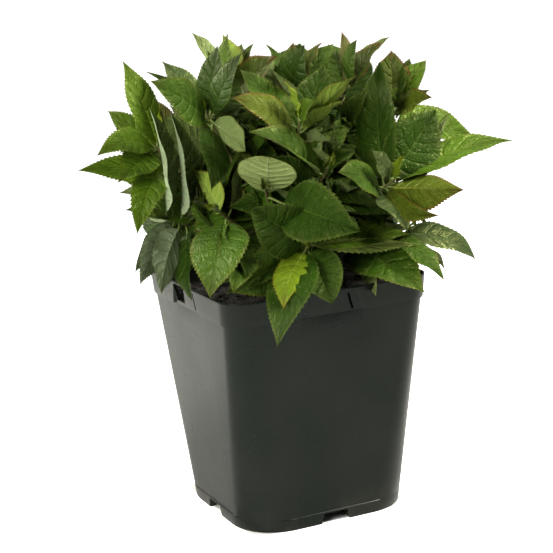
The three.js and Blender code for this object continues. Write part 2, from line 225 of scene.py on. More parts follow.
makeCamera(cameraView)
makeStudio(studio)
report("camera and studio")


def placePiece(name, mesh, slotName, *replaced):
    piece = bpy.data.objects.new(name, mesh)
    bpy.context.scene.collection.objects.link(piece)
    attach(piece, "root")
    if replaced:
        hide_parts(*replaced)


# the pot

potShape = {
    "height": 207,
    "wall": 1.8,
    "base": 14,
    "bodyHalf": (77.9, 93.1),  # at the foot, and drawn on to the rim
    "bodyCorner": (39.7, 16.5),
    "collarHeight": 21,
    "collarStep": 1.9,
    "collarCorner": 21,
    "footHeight": 11,
    "footStep": 0.8,
    "footCornerGrowth": 2.7,
    "panelHalf": (27, 20),  # bottom and top of the flush panel in the collar
    "panelTop": 205,
    "panelSoft": 2.6,
    "cornerSteps": 14,
    "bodyRows": 12,
    # rounded edges, each ring as a height and how far it is grown outwards
    "footRings": ((1.4, -6), (0.0, -4.6), (0.0, -1.0), (0.3, -0.35), (1.0, 0.0)),
    "footTopRings": ((-1.0, 0.0), (-0.4, -0.15)),  # from the top of the foot band
    "collarRings": ((0.5, -0.15), (1.1, 0.0), (8, 0.0)),  # from the bottom of the collar
    "panelTopDrop": 0.5,
    "lipRings": ((-0.8, 0.0), (-0.25, -0.22), (0, -0.65)),  # from the rim, outside
    "innerLipRings": ((0, 0.6), (-0.4, 0.1), (-1.2, 0.0), (-3.4, 0.0)),  # from the rim, inside the wall
    "innerPanel": (-3.8, 2, -0.5),  # from the rim, from the bottom of the collar, and its growth
    "innerStep": -2,  # where the wall narrows below the collar
    "innerFoot": 4,  # radius where the wall meets the base
    "smoothAngle": 32,
}
potOpenings = {
    "slit": ((18, 188), (14, 202), 2.2),  # bottom, top, width
    "labelWindow": (-24, -6, 189.5, 204),
    "notch": (14, 11, 9.4, 13),  # half width below and above, height, depth
    "hole": (7, 3.4, 7.6, 9),  # half width, bottom, top, depth
    "wallCut": (-110, -80),  # how deep a cut runs through the wall
    "overrun": 1,
    "holeOverlap": 0.01,
}


def between(pair, share):
    return pair[0] + (pair[1] - pair[0]) * share


def potRing(shape, height, kind, grow=0.0):
    # one level ring of the pot's surface, anticlockwise from the middle of the +X corner
    share = height / shape["height"]
    bodyHalf = between(shape["bodyHalf"], share)
    standsOut, corner = 0.0, between(shape["bodyCorner"], share)
    if kind == "foot":
        standsOut, corner = shape["footStep"], corner + shape["footCornerGrowth"]
    if kind in ("collar", "panel"):
        standsOut, corner = shape["collarStep"], shape["collarCorner"]
    half = bodyHalf + standsOut + grow
    corner = max(corner + grow, 1.0)
    collarBottom = shape["height"] - shape["collarHeight"]
    rise = min(1.0, max(0.0, (height - collarBottom) / shape["collarHeight"]))
    edge = between(shape["panelHalf"], rise)
    flush = bodyHalf + grow if kind == "panel" else half
    soft = shape["panelSoft"]
    sideway = ((edge + soft, half), (edge, flush), (0, flush), (-edge, flush), (-edge - soft, half))
    middle = half - corner
    ring = []
    for quarter in range(4):
        turn = Matrix.Rotation(quarter * math.pi / 2, 2)
        for step in range(shape["cornerSteps"] + 1):
            angle = step / shape["cornerSteps"] * math.pi / 2
            point = Vector((middle + corner * math.cos(angle), middle + corner * math.sin(angle)))
            ring.append((*(turn @ point), height))
        for across, out in sideway:
            ring.append((*(turn @ Vector((across, out))), height))
    return ring


def sidePrism(outline, near, far, quarter):
    # a block with an outline of (across, height) on the -Y side, from one depth to another
    turn = Matrix.Rotation(quarter * math.pi / 2, 2)
    points = []
    for depth in (near, far):
        for across, height in outline:
            points.append((*(turn @ Vector((across, depth))), height))
    count = len(outline)
    faces = [tuple(range(count)), tuple(range(2 * count - 1, count - 1, -1))]
    for i in range(count):
        after = (i + 1) % count
        faces.append((i, i + count, after + count, after))
    return points, faces


def rectangle(left, right, bottom, top):
    return ((left, bottom), (right, bottom), (right, top), (left, top))


def potCutters(shape, openings):
    points, faces = [], []

    def add(block):
        start = len(points)
        points.extend(block[0])
        faces.extend(tuple(start + i for i in face) for face in block[1])

    outside = -shape["bodyHalf"][0] - shape["footStep"]
    lowHalf, highHalf, notchTop, notchDepth = openings["notch"]
    holeHalf, holeBottom, holeTop, holeDepth = openings["hole"]
    (lowAcross, lowHeight), (highAcross, highHeight), slitWidth = openings["slit"]
    overrun, notchBack = openings["overrun"], outside + notchDepth
    for quarter in range(4):
        outline = ((-lowHalf, -overrun), (lowHalf, -overrun), (highHalf, notchTop), (-highHalf, notchTop))
        add(sidePrism(outline, outside - overrun, notchBack, quarter))
        outline = rectangle(-holeHalf, holeHalf, holeBottom, holeTop)
        add(sidePrism(outline, notchBack - openings["holeOverlap"], notchBack + holeDepth, quarter))
        outline = (
            (lowAcross - slitWidth / 2, lowHeight),
            (lowAcross + slitWidth / 2, lowHeight),
            (highAcross + slitWidth / 2, highHeight),
            (highAcross - slitWidth / 2, highHeight),
        )
        add(sidePrism(outline, *openings["wallCut"], quarter))
    for quarter in (1, 3):
        add(sidePrism(rectangle(*openings["labelWindow"]), *openings["wallCut"], quarter))
    mesh = bpy.data.meshes.new("cutters")
    mesh.from_pydata([Vector(p) * mm for p in points], [], faces)
    return bpy.data.objects.new("cutters", mesh)


def potMesh(shape, openings):
    top, wall = shape["height"], shape["wall"]
    collarBottom = top - shape["collarHeight"]
    footTop, footRound = shape["footHeight"], shape["innerFoot"]
    # each ring: height, kind, growth
    levels = [(height, "foot", grow) for height, grow in shape["footRings"]]
    levels += [(footTop + rise, "foot", grow) for rise, grow in shape["footTopRings"]]
    for row in range(shape["bodyRows"]):
        levels.append((footTop + (collarBottom - footTop) * row / shape["bodyRows"], "body", 0.0))
    levels.append((collarBottom, "body", 0.0))
    levels += [(collarBottom + rise, "panel", grow) for rise, grow in shape["collarRings"]]
    levels.append((shape["panelTop"] - shape["panelTopDrop"], "panel", 0.0))
    levels.append((shape["panelTop"], "collar", 0.0))
    levels += [(top + rise, "collar", grow) for rise, grow in shape["lipRings"]]
    # and down the inside of the wall
    levels += [(top + rise, "collar", -wall + grow) for rise, grow in shape["innerLipRings"]]
    upper, lower, grow = shape["innerPanel"]
    levels += [(top + upper, "panel", -wall + grow), (collarBottom + lower, "panel", -wall + grow)]
    levels.append((collarBottom + shape["innerStep"], "body", -wall))
    levels += [(shape["base"] + footRound, "body", -wall), (shape["base"], "body", -wall - footRound)]
    rings = [potRing(shape, *level) for level in levels]
    count = len(rings[0])
    points = [Vector(point) * mm for ring in rings for point in ring]
    faces = [tuple(reversed(range(count))), tuple(range(len(points) - count, len(points)))]
    for ring in range(len(rings) - 1):
        for i in range(count):
            after = (i + 1) % count
            low, high = ring * count, (ring + 1) * count
            faces.append((low + i, low + after, high + after, high + i))
    mesh = bpy.data.meshes.new("potShell")
    mesh.from_pydata(points, [], faces)
    shell = bpy.data.objects.new("potShellDraft", mesh)
    cutters = potCutters(shape, openings)
    for each in (shell, cutters):
        bpy.context.scene.collection.objects.link(each)
    cut = shell.modifiers.new("openings", "BOOLEAN")
    cut.operation = "DIFFERENCE"
    cut.solver = "EXACT"
    cut.use_self = True
    cut.object = cutters
    drawn = shell.evaluated_get(bpy.context.evaluated_depsgraph_get())
    finished = bpy.data.meshes.new_from_object(drawn)
    bpy.data.objects.remove(shell)
    bpy.data.objects.remove(cutters)
    finished.name = "potShell"
    finished.shade_smooth()
    finished.set_sharp_from_angle(angle=math.radians(shape["smoothAngle"]))
    return finished


potFinish = {
    "plastic": colour(0.0036, 0.0060, 0.0042),
    "worn": colour(0.0095, 0.0105, 0.0085),
    "dust": colour(0.075, 0.068, 0.055),
    "roughness": (0.25, 0.34),
    "shine": 0.18,
    "shineTint": colour(0.90, 1.0, 0.95),
    "grainScale": 1100,
    "grainStrength": 0.2,
    "grainDepth": 0.0004,
    "smearScale": 14,
    "wornWhere": (0.35, 0.7),  # the part of the smear over which a finish comes in
    "roughWhere": (0.3, 0.72),
    "settledWhere": (0.42, 0.62),
    "settledHeight": (0.030, 0.002),  # metres, where dust begins and is thickest
    "settledShare": 0.3,
    "speckScale": 210,
    "speckSize": (0.13, 0.05),
    "speckPatches": 38,
    "speckWhere": (0.56, 0.66),
    "speckShare": 0.5,
    "speckRoughness": 0.3,
}


def potMaterial(finish):
    material, tree, surface = newMaterial("mouldedPlastic")
    place = addNode(tree, "ShaderNodeTexCoord").outputs["Object"]

    def noiseOf(scale, **detail):
        settings = {"Vector": place, "Scale": scale, **detail}
        return addNode(tree, "ShaderNodeTexNoise", settings).outputs[0]

    smear = noiseOf(finish["smearScale"], Detail=4)
    grain = noiseOf(finish["grainScale"], Detail=2)
    cells = addNode(tree, "ShaderNodeTexVoronoi", {"Vector": place, "Scale": finish["speckScale"]})
    specks = ramp(tree, cells.outputs["Distance"], *finish["speckSize"])
    picked = ramp(tree, noiseOf(finish["speckPatches"]), *finish["speckWhere"])
    specks = calculate(tree, "MULTIPLY", specks, picked)
    height = addNode(tree, "ShaderNodeSeparateXYZ", {"Vector": place}).outputs["Z"]
    low = ramp(tree, height, *finish["settledHeight"])
    settled = calculate(tree, "MULTIPLY", low, ramp(tree, smear, *finish["settledWhere"]))
    surface.inputs["Specular IOR Level"].default_value = finish["shine"]
    surface.inputs["Specular Tint"].default_value = finish["shineTint"]
    base = blendColour(tree, ramp(tree, smear, *finish["wornWhere"]), finish["plastic"], finish["worn"])
    dusty = calculate(tree, "MULTIPLY", specks, finish["speckShare"])
    base = blendColour(tree, dusty, base, finish["dust"])
    dusty = calculate(tree, "MULTIPLY", settled, finish["settledShare"])
    base = blendColour(tree, dusty, base, finish["dust"])
    tree.links.new(base, surface.inputs["Base Color"])
    rough = ramp(tree, smear, *finish["roughWhere"], *finish["roughness"])
    rough = calculate(tree, "MULTIPLY_ADD", specks, finish["speckRoughness"], rough)
    tree.links.new(rough, surface.inputs["Roughness"])
    relief = {"Height": grain, "Strength": finish["grainStrength"], "Distance": finish["grainDepth"]}
    bump = addNode(tree, "ShaderNodeBump", relief)
    tree.links.new(bump.outputs[0], surface.inputs["Normal"])
    return material


potShell = potMesh(potShape, potOpenings)
potShell.materials.append(potMaterial(potFinish))
placePiece("potShell", potShell, "pot_plastic", "pot")
report("pot")


# joined meshes


def newBatch():
    return {"points": [], "faces": [], "finish": [], "patterns": [], "sharp": [], "count": 0}


def addToBatch(batch, points, faces, finish=0, patterns=None, sharp=None):
    points, faces = np.asarray(points, float), np.asarray(faces, int)
    batch["points"].append(points)
    batch["faces"].append(faces + batch["count"])
    batch["finish"].append(np.broadcast_to(np.asarray(finish, int), (len(faces),)))
    batch["sharp"].append(np.zeros(len(points), bool) if sharp is None else sharp)
    if patterns is not None:
        batch["patterns"].append(patterns)
    batch["count"] += len(points)


def batchMesh(name, batch, materials):
    points, faces = np.concatenate(batch["points"]), np.concatenate(batch["faces"])
    mesh = bpy.data.meshes.new(name)
    mesh.vertices.add(len(points))
    mesh.vertices.foreach_set("co", (points * mm).ravel())
    mesh.loops.add(faces.size)
    mesh.loops.foreach_set("vertex_index", faces.ravel())
    mesh.polygons.add(len(faces))
    mesh.polygons.foreach_set("loop_start", np.arange(0, faces.size, 3))
    mesh.polygons.foreach_set("material_index", np.concatenate(batch["finish"]))
    mesh.update(calc_edges=True)
    mesh.shade_smooth()
    if batch["patterns"]:
        layer = mesh.uv_layers.new(name="OFBake")
        layer.uv.foreach_set("vector", np.concatenate(batch["patterns"]).ravel())
    onEdge = np.concatenate(batch["sharp"])
    if onEdge.any():
        ends = np.empty(len(mesh.edges) * 2, int)
        mesh.edges.foreach_get("vertices", ends)
        sharp = mesh.attributes.new("sharp_edge", "BOOLEAN", "EDGE")
        sharp.data.foreach_set("value", onEdge[ends.reshape(-1, 2)].all(axis=1))
    for material in materials:
        mesh.materials.append(material)
    return mesh


# the potting mix

soilBed = {
    "half": 89.1,  # mm from the middle to its edge, above and below
    "lowerHalf": 88.3,
    "corner": 17,
    "cells": 84,
    "depth": 14,
    "roughness": 2.2,
    "crumbs": 1500,
    "crumbSize": (0.9, 3.4),
    "chips": 130,
    "chipSize": (4, 11),
    "flatness": {"crumbs": 0.8, "chips": 0.3},
    "lumpSpread": (0.55, 1.1),  # how far each corner of a lump stands out
    "lumpTilt": 0.5,
    "lumpInset": 6,  # mm that lumps keep from the edge
    "lumpRise": 0.3,
    "sunk": 1.2,
    "hump": 2.4,
    "waveScale": 0.09,
    "clumpScale": 180,
    "fibreScale": 420,
    "fibreShare": 0.5,
    "gloss": (0.75, 0.98),
    "relief": (0.8, 0.001),  # strength and depth
    "darkMix": colour(0.006, 0.004, 0.003),
    "lightMix": colour(0.017, 0.011, 0.007),
}


def soilHeight(x, y, bed, top, half):
    spread = noise.fractal(Vector((x, y, 3.0)) * bed["waveScale"], 1.0, 2.0, 4)
    edge = max(abs(x), abs(y)) / half
    return top - bed["sunk"] - bed["hump"] * edge**4 + bed["roughness"] * spread


def lumpShape(rng, size, flatness, bed):
    # a small uneven lump of eight faces
    points, tilt = [], bed["lumpTilt"]
    for way in ((1, 0, 0), (-1, 0, 0), (0, 1, 0), (0, -1, 0), (0, 0, 1), (0, 0, -1)):
        points.append(Vector(way) * size * rng.uniform(*bed["lumpSpread"]))
    turn = Matrix.Rotation(rng.uniform(0, fullTurn), 3, "Z")
    turn = turn @ Matrix.Rotation(rng.uniform(-tilt, tilt), 3, "X")
    points = [turn @ Vector((p.x, p.y * flatness, p.z * flatness)) for p in points]
    faces = [(0, 2, 4), (2, 1, 4), (1, 3, 4), (3, 0, 4), (2, 0, 5), (1, 2, 5), (3, 1, 5), (0, 3, 5)]
    return points, faces


def soilMesh(bed):
    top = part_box("soil")[1].z / mm
    half, corner = bed["half"], bed["corner"]
    rng = random.Random("potting mix")
    batch = newBatch()
    count = bed["cells"]
    steps = [2 * i / count - 1 for i in range(count + 1)]
    upper = []
    for v in steps:
        for u in steps:
            # the square is drawn in at its corners
            x, y = u * half, v * half
            overX, overY = abs(x) - (half - corner), abs(y) - (half - corner)
            if overX > 0 and overY > 0:
                shrink = corner / max(corner, math.hypot(overX, overY))
                x = math.copysign(half - corner + overX * shrink, x)
                y = math.copysign(half - corner + overY * shrink, y)
            upper.append((x, y, soilHeight(x, y, bed, top, half)))
    size = count + 1
    drawnIn = bed["lowerHalf"] / half
    lower = [(x * drawnIn, y * drawnIn, top - bed["depth"]) for x, y, _ in upper]
    faces = []
    for row in range(count):
        for column in range(count):
            a = row * size + column
            faces += [(a, a + 1, a + size + 1), (a, a + size + 1, a + size)]
            b = a + size * size
            faces += [(b, b + size + 1, b + 1), (b, b + size, b + size + 1)]
    border = [(0, i) for i in range(count)] + [(i, count) for i in range(count)]
    border += [(count, count - i) for i in range(count)] + [(count - i, 0) for i in range(count)]
    for i, (row, column) in enumerate(border):
        nextRow, nextColumn = border[(i + 1) % len(border)]
        a, b = row * size + column, nextRow * size + nextColumn
        faces += [(a, a + size * size, b + size * size), (a, b + size * size, b)]
    addToBatch(batch, upper + lower, faces)
    inside = half - bed["lumpInset"]
    for kind, sizes in (("crumbs", "crumbSize"), ("chips", "chipSize")):
        for _ in range(bed[kind]):
            size = rng.uniform(*bed[sizes]) / 2
            lump, lumpFaces = lumpShape(rng, size, bed["flatness"][kind], bed)
            x, y = rng.uniform(-inside, inside), rng.uniform(-inside, inside)
            place = Vector((x, y, soilHeight(x, y, bed, top, half) + bed["lumpRise"]))
            addToBatch(batch, [point + place for point in lump], lumpFaces)
    return batch


def soilMaterial(bed):
    material, tree, surface = newMaterial("pottingMix")
    place = addNode(tree, "ShaderNodeTexCoord").outputs["Object"]
    settings = {"Vector": place, "Scale": bed["clumpScale"], "Detail": 6}
    clumps = addNode(tree, "ShaderNodeTexNoise", settings).outputs[0]
    fibres = addNode(tree, "ShaderNodeTexVoronoi", {"Vector": place, "Scale": bed["fibreScale"]})
    mixed = calculate(tree, "MULTIPLY_ADD", fibres.outputs["Distance"], bed["fibreShare"], clumps)
    base = blendColour(tree, ramp(tree, mixed, 0.5, 1.0), bed["darkMix"], bed["lightMix"])
    tree.links.new(base, surface.inputs["Base Color"])
    tree.links.new(ramp(tree, clumps, 0.3, 0.7, *bed["gloss"]), surface.inputs["Roughness"])
    strength, depth = bed["relief"]
    bump = addNode(tree, "ShaderNodeBump", {"Height": mixed, "Strength": strength, "Distance": depth})
    tree.links.new(bump.outputs[0], surface.inputs["Normal"])
    return material


soilSurface = batchMesh("pottingMix", soilMesh(soilBed), [soilMaterial(soilBed)])
placePiece("pottingMix", soilSurface, "soil", "soil")
report("potting mix")


# stems and shoots

woodShape = {
    "heart": (0, 0, 215),  # every head points away from it
    "endToTip": 38.3,  # mm from the end of a bough to the growing tip of its head
    "startPull": 0.3,
    "endPull": 0.35,
    "stemSides": 18,
    "shootSides": 12,
    "stepLength": 1.8,
    "curveSamples": 60,
    "footBand": 0.5,
    "endReach": 4.4,  # mm about the corner of a limb's end that still belong to that end
    "forkBand": 7,  # height of the swollen end of a stem
    "sunk": 4,  # how far a stem goes on into the mix
    "knee": 0.45,  # share of the height over which a stem rises before it leans out
    "stemRadius": (4.1, 3.3),
    "stemFlare": (2.1, 7.0),  # extra radius at the soil, and the height over which it fades
    "forkSwell": (1.0, 3.5),  # extra radius at the fork, and the length over which it fades
    "stemJointEvery": (11, 17),
    "stemJointSwell": 0.14,
    "stemRelief": 1.6,  # how much rougher a stem is than a shoot
    "shootRadius": (2.1, 1.5, 1.05),  # where it leaves the stem, at the head, and at the tip
    "headAt": 0.65,  # share of a shoot's length, about where its head begins
    "inHead": 10,  # mm past the end of a bough, a point on the straight way to the tip
    "jointEvery": (15, 23),
    "jointSwell": 0.22,
    "jointWidth": 1.7,
    "skinSeeds": (0, 50),
    "barkRelief": 0.10,
}


tubeShape = {
    "aside": (0.31, 0.92, 0.24),  # a way that no limb runs along, for the first ring
    "startCap": 0.4,  # how far each end bulges, as a share of its radius
    "endCap": 0.8,
    "skinStretch": (1, 1, 0.28),
    "skinRound": 1.6,
    "skinScale": 0.75,
}


def nodePoints(name):
    return np.array([v.co for v in nodes[name].data.vertices], float) / mm


def endNear(points, place):
    near = points[np.linalg.norm(points - place, axis=1) < woodShape["endReach"]]
    return Vector(near.mean(axis=0))


def stemEnds(name):
    points = nodePoints(name)
    low, high = points[:, 2].min(), points[:, 2].max()
    foot = points[points[:, 2] < low + woodShape["footBand"]].mean(axis=0)
    fork = points[points[:, 2] > high - woodShape["forkBand"]].mean(axis=0)
    return Vector(foot), Vector(fork)


def boughEnds(name, forks):
    points = nodePoints(name)
    apart = [np.linalg.norm(points - np.array(fork), axis=1).min() for fork in forks]
    fork = forks[apart.index(min(apart))]
    nearest = points[np.linalg.norm(points - np.array(fork), axis=1).argmin()]
    farthest = points[np.linalg.norm(points - nearest, axis=1).argmax()]
    return fork, endNear(points, nearest), endNear(points, farthest)


def runAlong(curve):
    return np.concatenate([[0], np.cumsum(np.linalg.norm(np.diff(curve, axis=0), axis=1))])


def curvePoints(controls, spacing):
    # a Bezier curve from the first control point to the last, its points about one spacing apart
    controls = [np.array(c, float) for c in controls]
    degree = len(controls) - 1
    t = np.linspace(0, 1, woodShape["curveSamples"])[:, None]
    weights = [math.comb(degree, i) * (1 - t) ** (degree - i) * t**i for i in range(degree + 1)]
    return resample(sum(weight * control for weight, control in zip(weights, controls)), spacing)


def resample(curve, spacing):
    run = runAlong(curve)
    at = np.linspace(0, run[-1], max(3, int(run[-1] / spacing) + 1))
    return np.stack([np.interp(at, run, curve[:, axis]) for axis in range(3)], axis=1)


def addTube(batch, curve, radii, sides, relief=0.0, seed=0.0):
    # a closed limb round a curve, with rounded ends and an uneven skin
    tangents = np.gradient(curve, axis=0)
    tangents /= np.linalg.norm(tangents, axis=1)[:, None]
    across = np.cross(tangents[0], tubeShape["aside"])
    points = [curve[0] - tangents[0] * radii[0] * tubeShape["startCap"]]
    for centre, tangent, radius in zip(curve, tangents, radii):
        across = across - tangent * across.dot(tangent)
        across /= np.linalg.norm(across)
        other = np.cross(tangent, across)
        for side in range(sides):
            angle = 2 * math.pi * side / sides
            way = across * math.cos(angle) + other * math.sin(angle)
            skin = 1.0
            if relief:
                spot = Vector(centre * tubeShape["skinStretch"] + way * tubeShape["skinRound"])
                spot = spot * tubeShape["skinScale"] + Vector((seed, 0, 0))
                skin += relief * noise.fractal(spot, 1.0, 2.0, 3)
            points.append(centre + way * radius * skin)
    points.append(curve[-1] + tangents[-1] * radii[-1] * tubeShape["endCap"])
    faces = []
    rings = len(curve)
    for i in range(sides):
        after = (i + 1) % sides
        faces.append((0, 1 + after, 1 + i))
        last = 1 + (rings - 1) * sides
        faces.append((len(points) - 1, last + i, last + after))
        for ring in range(rings - 1):
            a, b = 1 + ring * sides + i, 1 + ring * sides + after
            faces += [(a, b, b + sides), (a, b + sides, a + sides)]
    addToBatch(batch, points, faces)


def swollenJoints(run, every, swell, rng):
    # how much thicker the limb is at its leaf joints
    extra = np.zeros(len(run))
    width = woodShape["jointWidth"]
    place = rng.uniform(*every) * 0.6
    while place < run[-1]:
        extra += swell * np.exp(-(((run - place) / width) ** 2))
        place += rng.uniform(*every)
    return 1 + extra


stemBatch, shootBatch, stalkBatch = newBatch(), newBatch(), newBatch()
stemNames = sorted(name for name in nodes if name.startswith("stem_"))
boughNames = sorted(name for name in nodes if name.startswith("bough_"))
forks = []
for name in stemNames:
    foot, fork = stemEnds(name)
    forks.append(fork)
    rng = random.Random(name)
    knee = Vector((foot.x, foot.y, foot.z + (fork.z - foot.z) * woodShape["knee"]))
    sunkFoot = foot - Vector((0, 0, woodShape["sunk"]))
    beyond = fork + (fork - knee).normalized()
    curve = curvePoints([sunkFoot, knee, beyond], woodShape["stepLength"])
    run = runAlong(curve)
    flare, fade = woodShape["stemFlare"]
    swell, swellFade = woodShape["forkSwell"]
    radii = np.interp(run / run[-1], (0, 1), woodShape["stemRadius"])
    radii = radii + flare * np.clip(1 - (run - woodShape["sunk"]) / fade, 0, 1) ** 2
    radii = radii + swell * np.exp(-(((run - run[-1] + 1) / swellFade) ** 2))
    radii = radii * swollenJoints(run, woodShape["stemJointEvery"], woodShape["stemJointSwell"], rng)
    relief = woodShape["barkRelief"] * woodShape["stemRelief"]
    addTube(stemBatch, curve, radii, woodShape["stemSides"], relief, rng.uniform(*woodShape["skinSeeds"]))

shoots = {}
for name in boughNames:
    fork, start, end = boughEnds(name, forks)
    axis = (end - Vector(woodShape["heart"])).normalized()
    tip = end + axis * woodShape["endToTip"]
    leaving = (start - fork).normalized()
    span = (end - start).length
    leaves = start + leaving * span * woodShape["startPull"]
    enters = end - axis * span * woodShape["endPull"]
    bend = curvePoints([start, leaves, enters, end], woodShape["stepLength"])
    inHead = end + axis * woodShape["inHead"]
    curve = resample(np.vstack([[fork], bend, [inHead], [tip]]), woodShape["stepLength"])
    rng = random.Random(name)
    run = runAlong(curve)
    radii = np.interp(run / run[-1], (0, woodShape["headAt"], 1), woodShape["shootRadius"])
    radii = radii * swollenJoints(run, woodShape["jointEvery"], woodShape["jointSwell"], rng)
    seed = rng.uniform(*woodShape["skinSeeds"])
    addTube(shootBatch, curve, radii, woodShape["shootSides"], woodShape["barkRelief"], seed)
    shoots[name[len("bough_"):]] = {"axis": axis, "curve": curve, "run": run}


barkFinish = {
    # hollows, ridges and pores, and how strong the relief is
    "stem": (colour(0.055, 0.038, 0.022), colour(0.19, 0.14, 0.085), colour(0.30, 0.24, 0.16), 0.8),
    "shoot": (colour(0.085, 0.10, 0.020), colour(0.13, 0.085, 0.035), colour(0.27, 0.22, 0.11), 0.45),
    "stalk": (colour(0.12, 0.17, 0.03), colour(0.20, 0.26, 0.06), colour(0.24, 0.20, 0.08), 0.3),
    "drawnOut": (1, 1, 0.16),  # the fissures run along the limb
    "fissureScale": 900,
    "fissureWhere": (0.38, 0.62),
    "patchScale": 90,
    "patchWhere": (0.35, 0.65),
    "patchShare": 0.7,
    "poreScale": 560,
    "poreSize": (0.2, 0.1),
    "poreShare": 0.6,
    "poreHeight": 0.3,
    "roughWhere": (0.3, 0.7),
    "roughness": (0.85, 0.6),
    "reliefDepth": 0.0006,
}


def barkMaterial(name, kind):
    finish = barkFinish
    dark, light, spots, ridges = finish[kind]
    material, tree, surface = newMaterial(name)
    place = addNode(tree, "ShaderNodeTexCoord").outputs["Object"]
    drawn = addNode(tree, "ShaderNodeMapping", {"Vector": place, "Scale": finish["drawnOut"]}).outputs[0]
    settings = {"Vector": drawn, "Scale": finish["fissureScale"], "Detail": 5, "Roughness": 0.6}
    fissures = addNode(tree, "ShaderNodeTexNoise", settings).outputs[0]
    settings = {"Vector": place, "Scale": finish["patchScale"], "Detail": 3}
    broad = addNode(tree, "ShaderNodeTexNoise", settings).outputs[0]
    pores = addNode(tree, "ShaderNodeTexVoronoi", {"Vector": place, "Scale": finish["poreScale"]})
    dots = ramp(tree, pores.outputs["Distance"], *finish["poreSize"])
    base = blendColour(tree, ramp(tree, fissures, *finish["fissureWhere"]), dark, light)
    patches = ramp(tree, broad, *finish["patchWhere"], 0.0, finish["patchShare"])
    base = blendColour(tree, patches, base, dark)
    base = blendColour(tree, calculate(tree, "MULTIPLY", dots, finish["poreShare"]), base, spots)
    tree.links.new(base, surface.inputs["Base Color"])
    rough = ramp(tree, fissures, *finish["roughWhere"], *finish["roughness"])
    tree.links.new(rough, surface.inputs["Roughness"])
    height = calculate(tree, "MULTIPLY_ADD", dots, finish["poreHeight"], fissures)
    relief = {"Height": height, "Strength": ridges, "Distance": finish["reliefDepth"]}
    bump = addNode(tree, "ShaderNodeBump", relief)
    tree.links.new(bump.outputs[0], surface.inputs["Normal"])
    return material


stemBark = barkMaterial("woodyBark", "stem")
shootBark = barkMaterial("greenBark", "shoot")
report("stems and shoots")


# leaves

leafShape = {
    "rows": 24,
    "columns": (0.0, 0.09, 0.32, 0.58, 0.84, 1.0),  # from the midrib to the margin
    "innerRows": 16,
    "innerColumns": (0.0, 0.12, 0.5, 1.0),
    "veinPairs": 8,
    "veinLean": 1.6,
    "veinArch": 1.5,
    "thickness": 0.4,
    "groove": 0.6,
    "quilt": 0.85,
    "tooth": 1.3,
    "toothPlace": 0.7,
    "toothFade": (0.14, 0.3),  # share of the blade over which teeth grow, at its foot and tip
    "toothLean": 0.6,  # how far a tooth points on, as a share of how far it stands out
    "ribEdge": 0.09,  # from the midrib, where the quilting is full
    "marginEdge": 0.16,  # from the margin, where it is full
    "grooveHalf": 0.05,
    "waveShift": 1.9,  # between the waves of the two margins
    "spineSteps": 33,
}
# how each outline swells from its foot and narrows to its tip
leafOutlines = {"oval": (0.78, 1.28), "round": (0.6, 0.85), "slim": (0.95, 1.4), "fan": (0.8, 0.55)}


def leafTemplate(rows, columns):
    # places are (along, across, sheet, tooth), and sheet is 1 above, -1 below and 0 on the margin
    across = [-c for c in columns[:0:-1]] + list(columns)
    last = len(across) - 1
    places, corners, sheets = [(0, 0, 0, 0), (1, 0, 0, 0)], [], []
    index = {}

    def vertex(sheet, row, column, tooth):
        if row == 0 and not tooth:
            return 0
        if row == rows:
            return 1
        onMargin = column in (0, last)
        key = (0 if onMargin else sheet, row, column, tooth)
        if key not in index:
            along = (row + tooth * leafShape["toothPlace"]) / rows
            index[key] = len(places)
            places.append((along, across[column], key[0], tooth))
        return index[key]

    def corner(sheet, row, column, tooth=0):
        along = (row + tooth * leafShape["toothPlace"]) / rows
        return vertex(sheet, row, column, tooth), along, across[column]

    for sheet in (1, -1):
        for row in range(rows):
            for column in range(last):
                a, b = corner(sheet, row, column), corner(sheet, row + 1, column)
                c, d = corner(sheet, row + 1, column + 1), corner(sheet, row, column + 1)
                if column == 0:
                    t = corner(sheet, row, 0, 1)
                    found = [(a, t, d), (t, c, d), (t, b, c)]
                elif column == last - 1:
                    t = corner(sheet, row, last, 1)
                    found = [(a, b, t), (a, t, d), (b, c, t)]
                else:
                    found = [(a, b, c), (a, c, d)]
                for face in found:
                    if len({each[0] for each in face}) == 3:
                        corners.append(face if sheet > 0 else face[::-1])
                        sheets.append(sheet)
    places = np.array(places, float)
    return {
        "along": places[:, 0],
        "across": places[:, 1],
        "sheet": places[:, 2],
        "tooth": places[:, 3],
        "faces": np.array([[each[0] for each in face] for face in corners]),
        "pattern": np.array([[each[1:] for each in face] for face in corners], float),
        "sheets": np.array(sheets),
    }


fullLeaf = leafTemplate(leafShape["rows"], leafShape["columns"])
innerLeaf = leafTemplate(leafShape["innerRows"], leafShape["innerColumns"])


leafSpread = {
    "curl": (0, 18),
    "sweep": (-14, 14),
    "twist": (-12, 12),
    "fold": (10, 22),
    "camber": (0.06, 0.2),
    "wave": (0.5, 1.6),
    "waves": (1.6, 2.8),
    "phase": (0, fullTurn),
    "teeth": (0.85, 1.2),
}


def leafDefaults(rng):
    leaf = {key: rng.uniform(*spread) for key, spread in leafSpread.items()}
    leaf.update(outline="oval", droop=20, teeth=leafShape["tooth"] * leaf["teeth"])
    return leaf


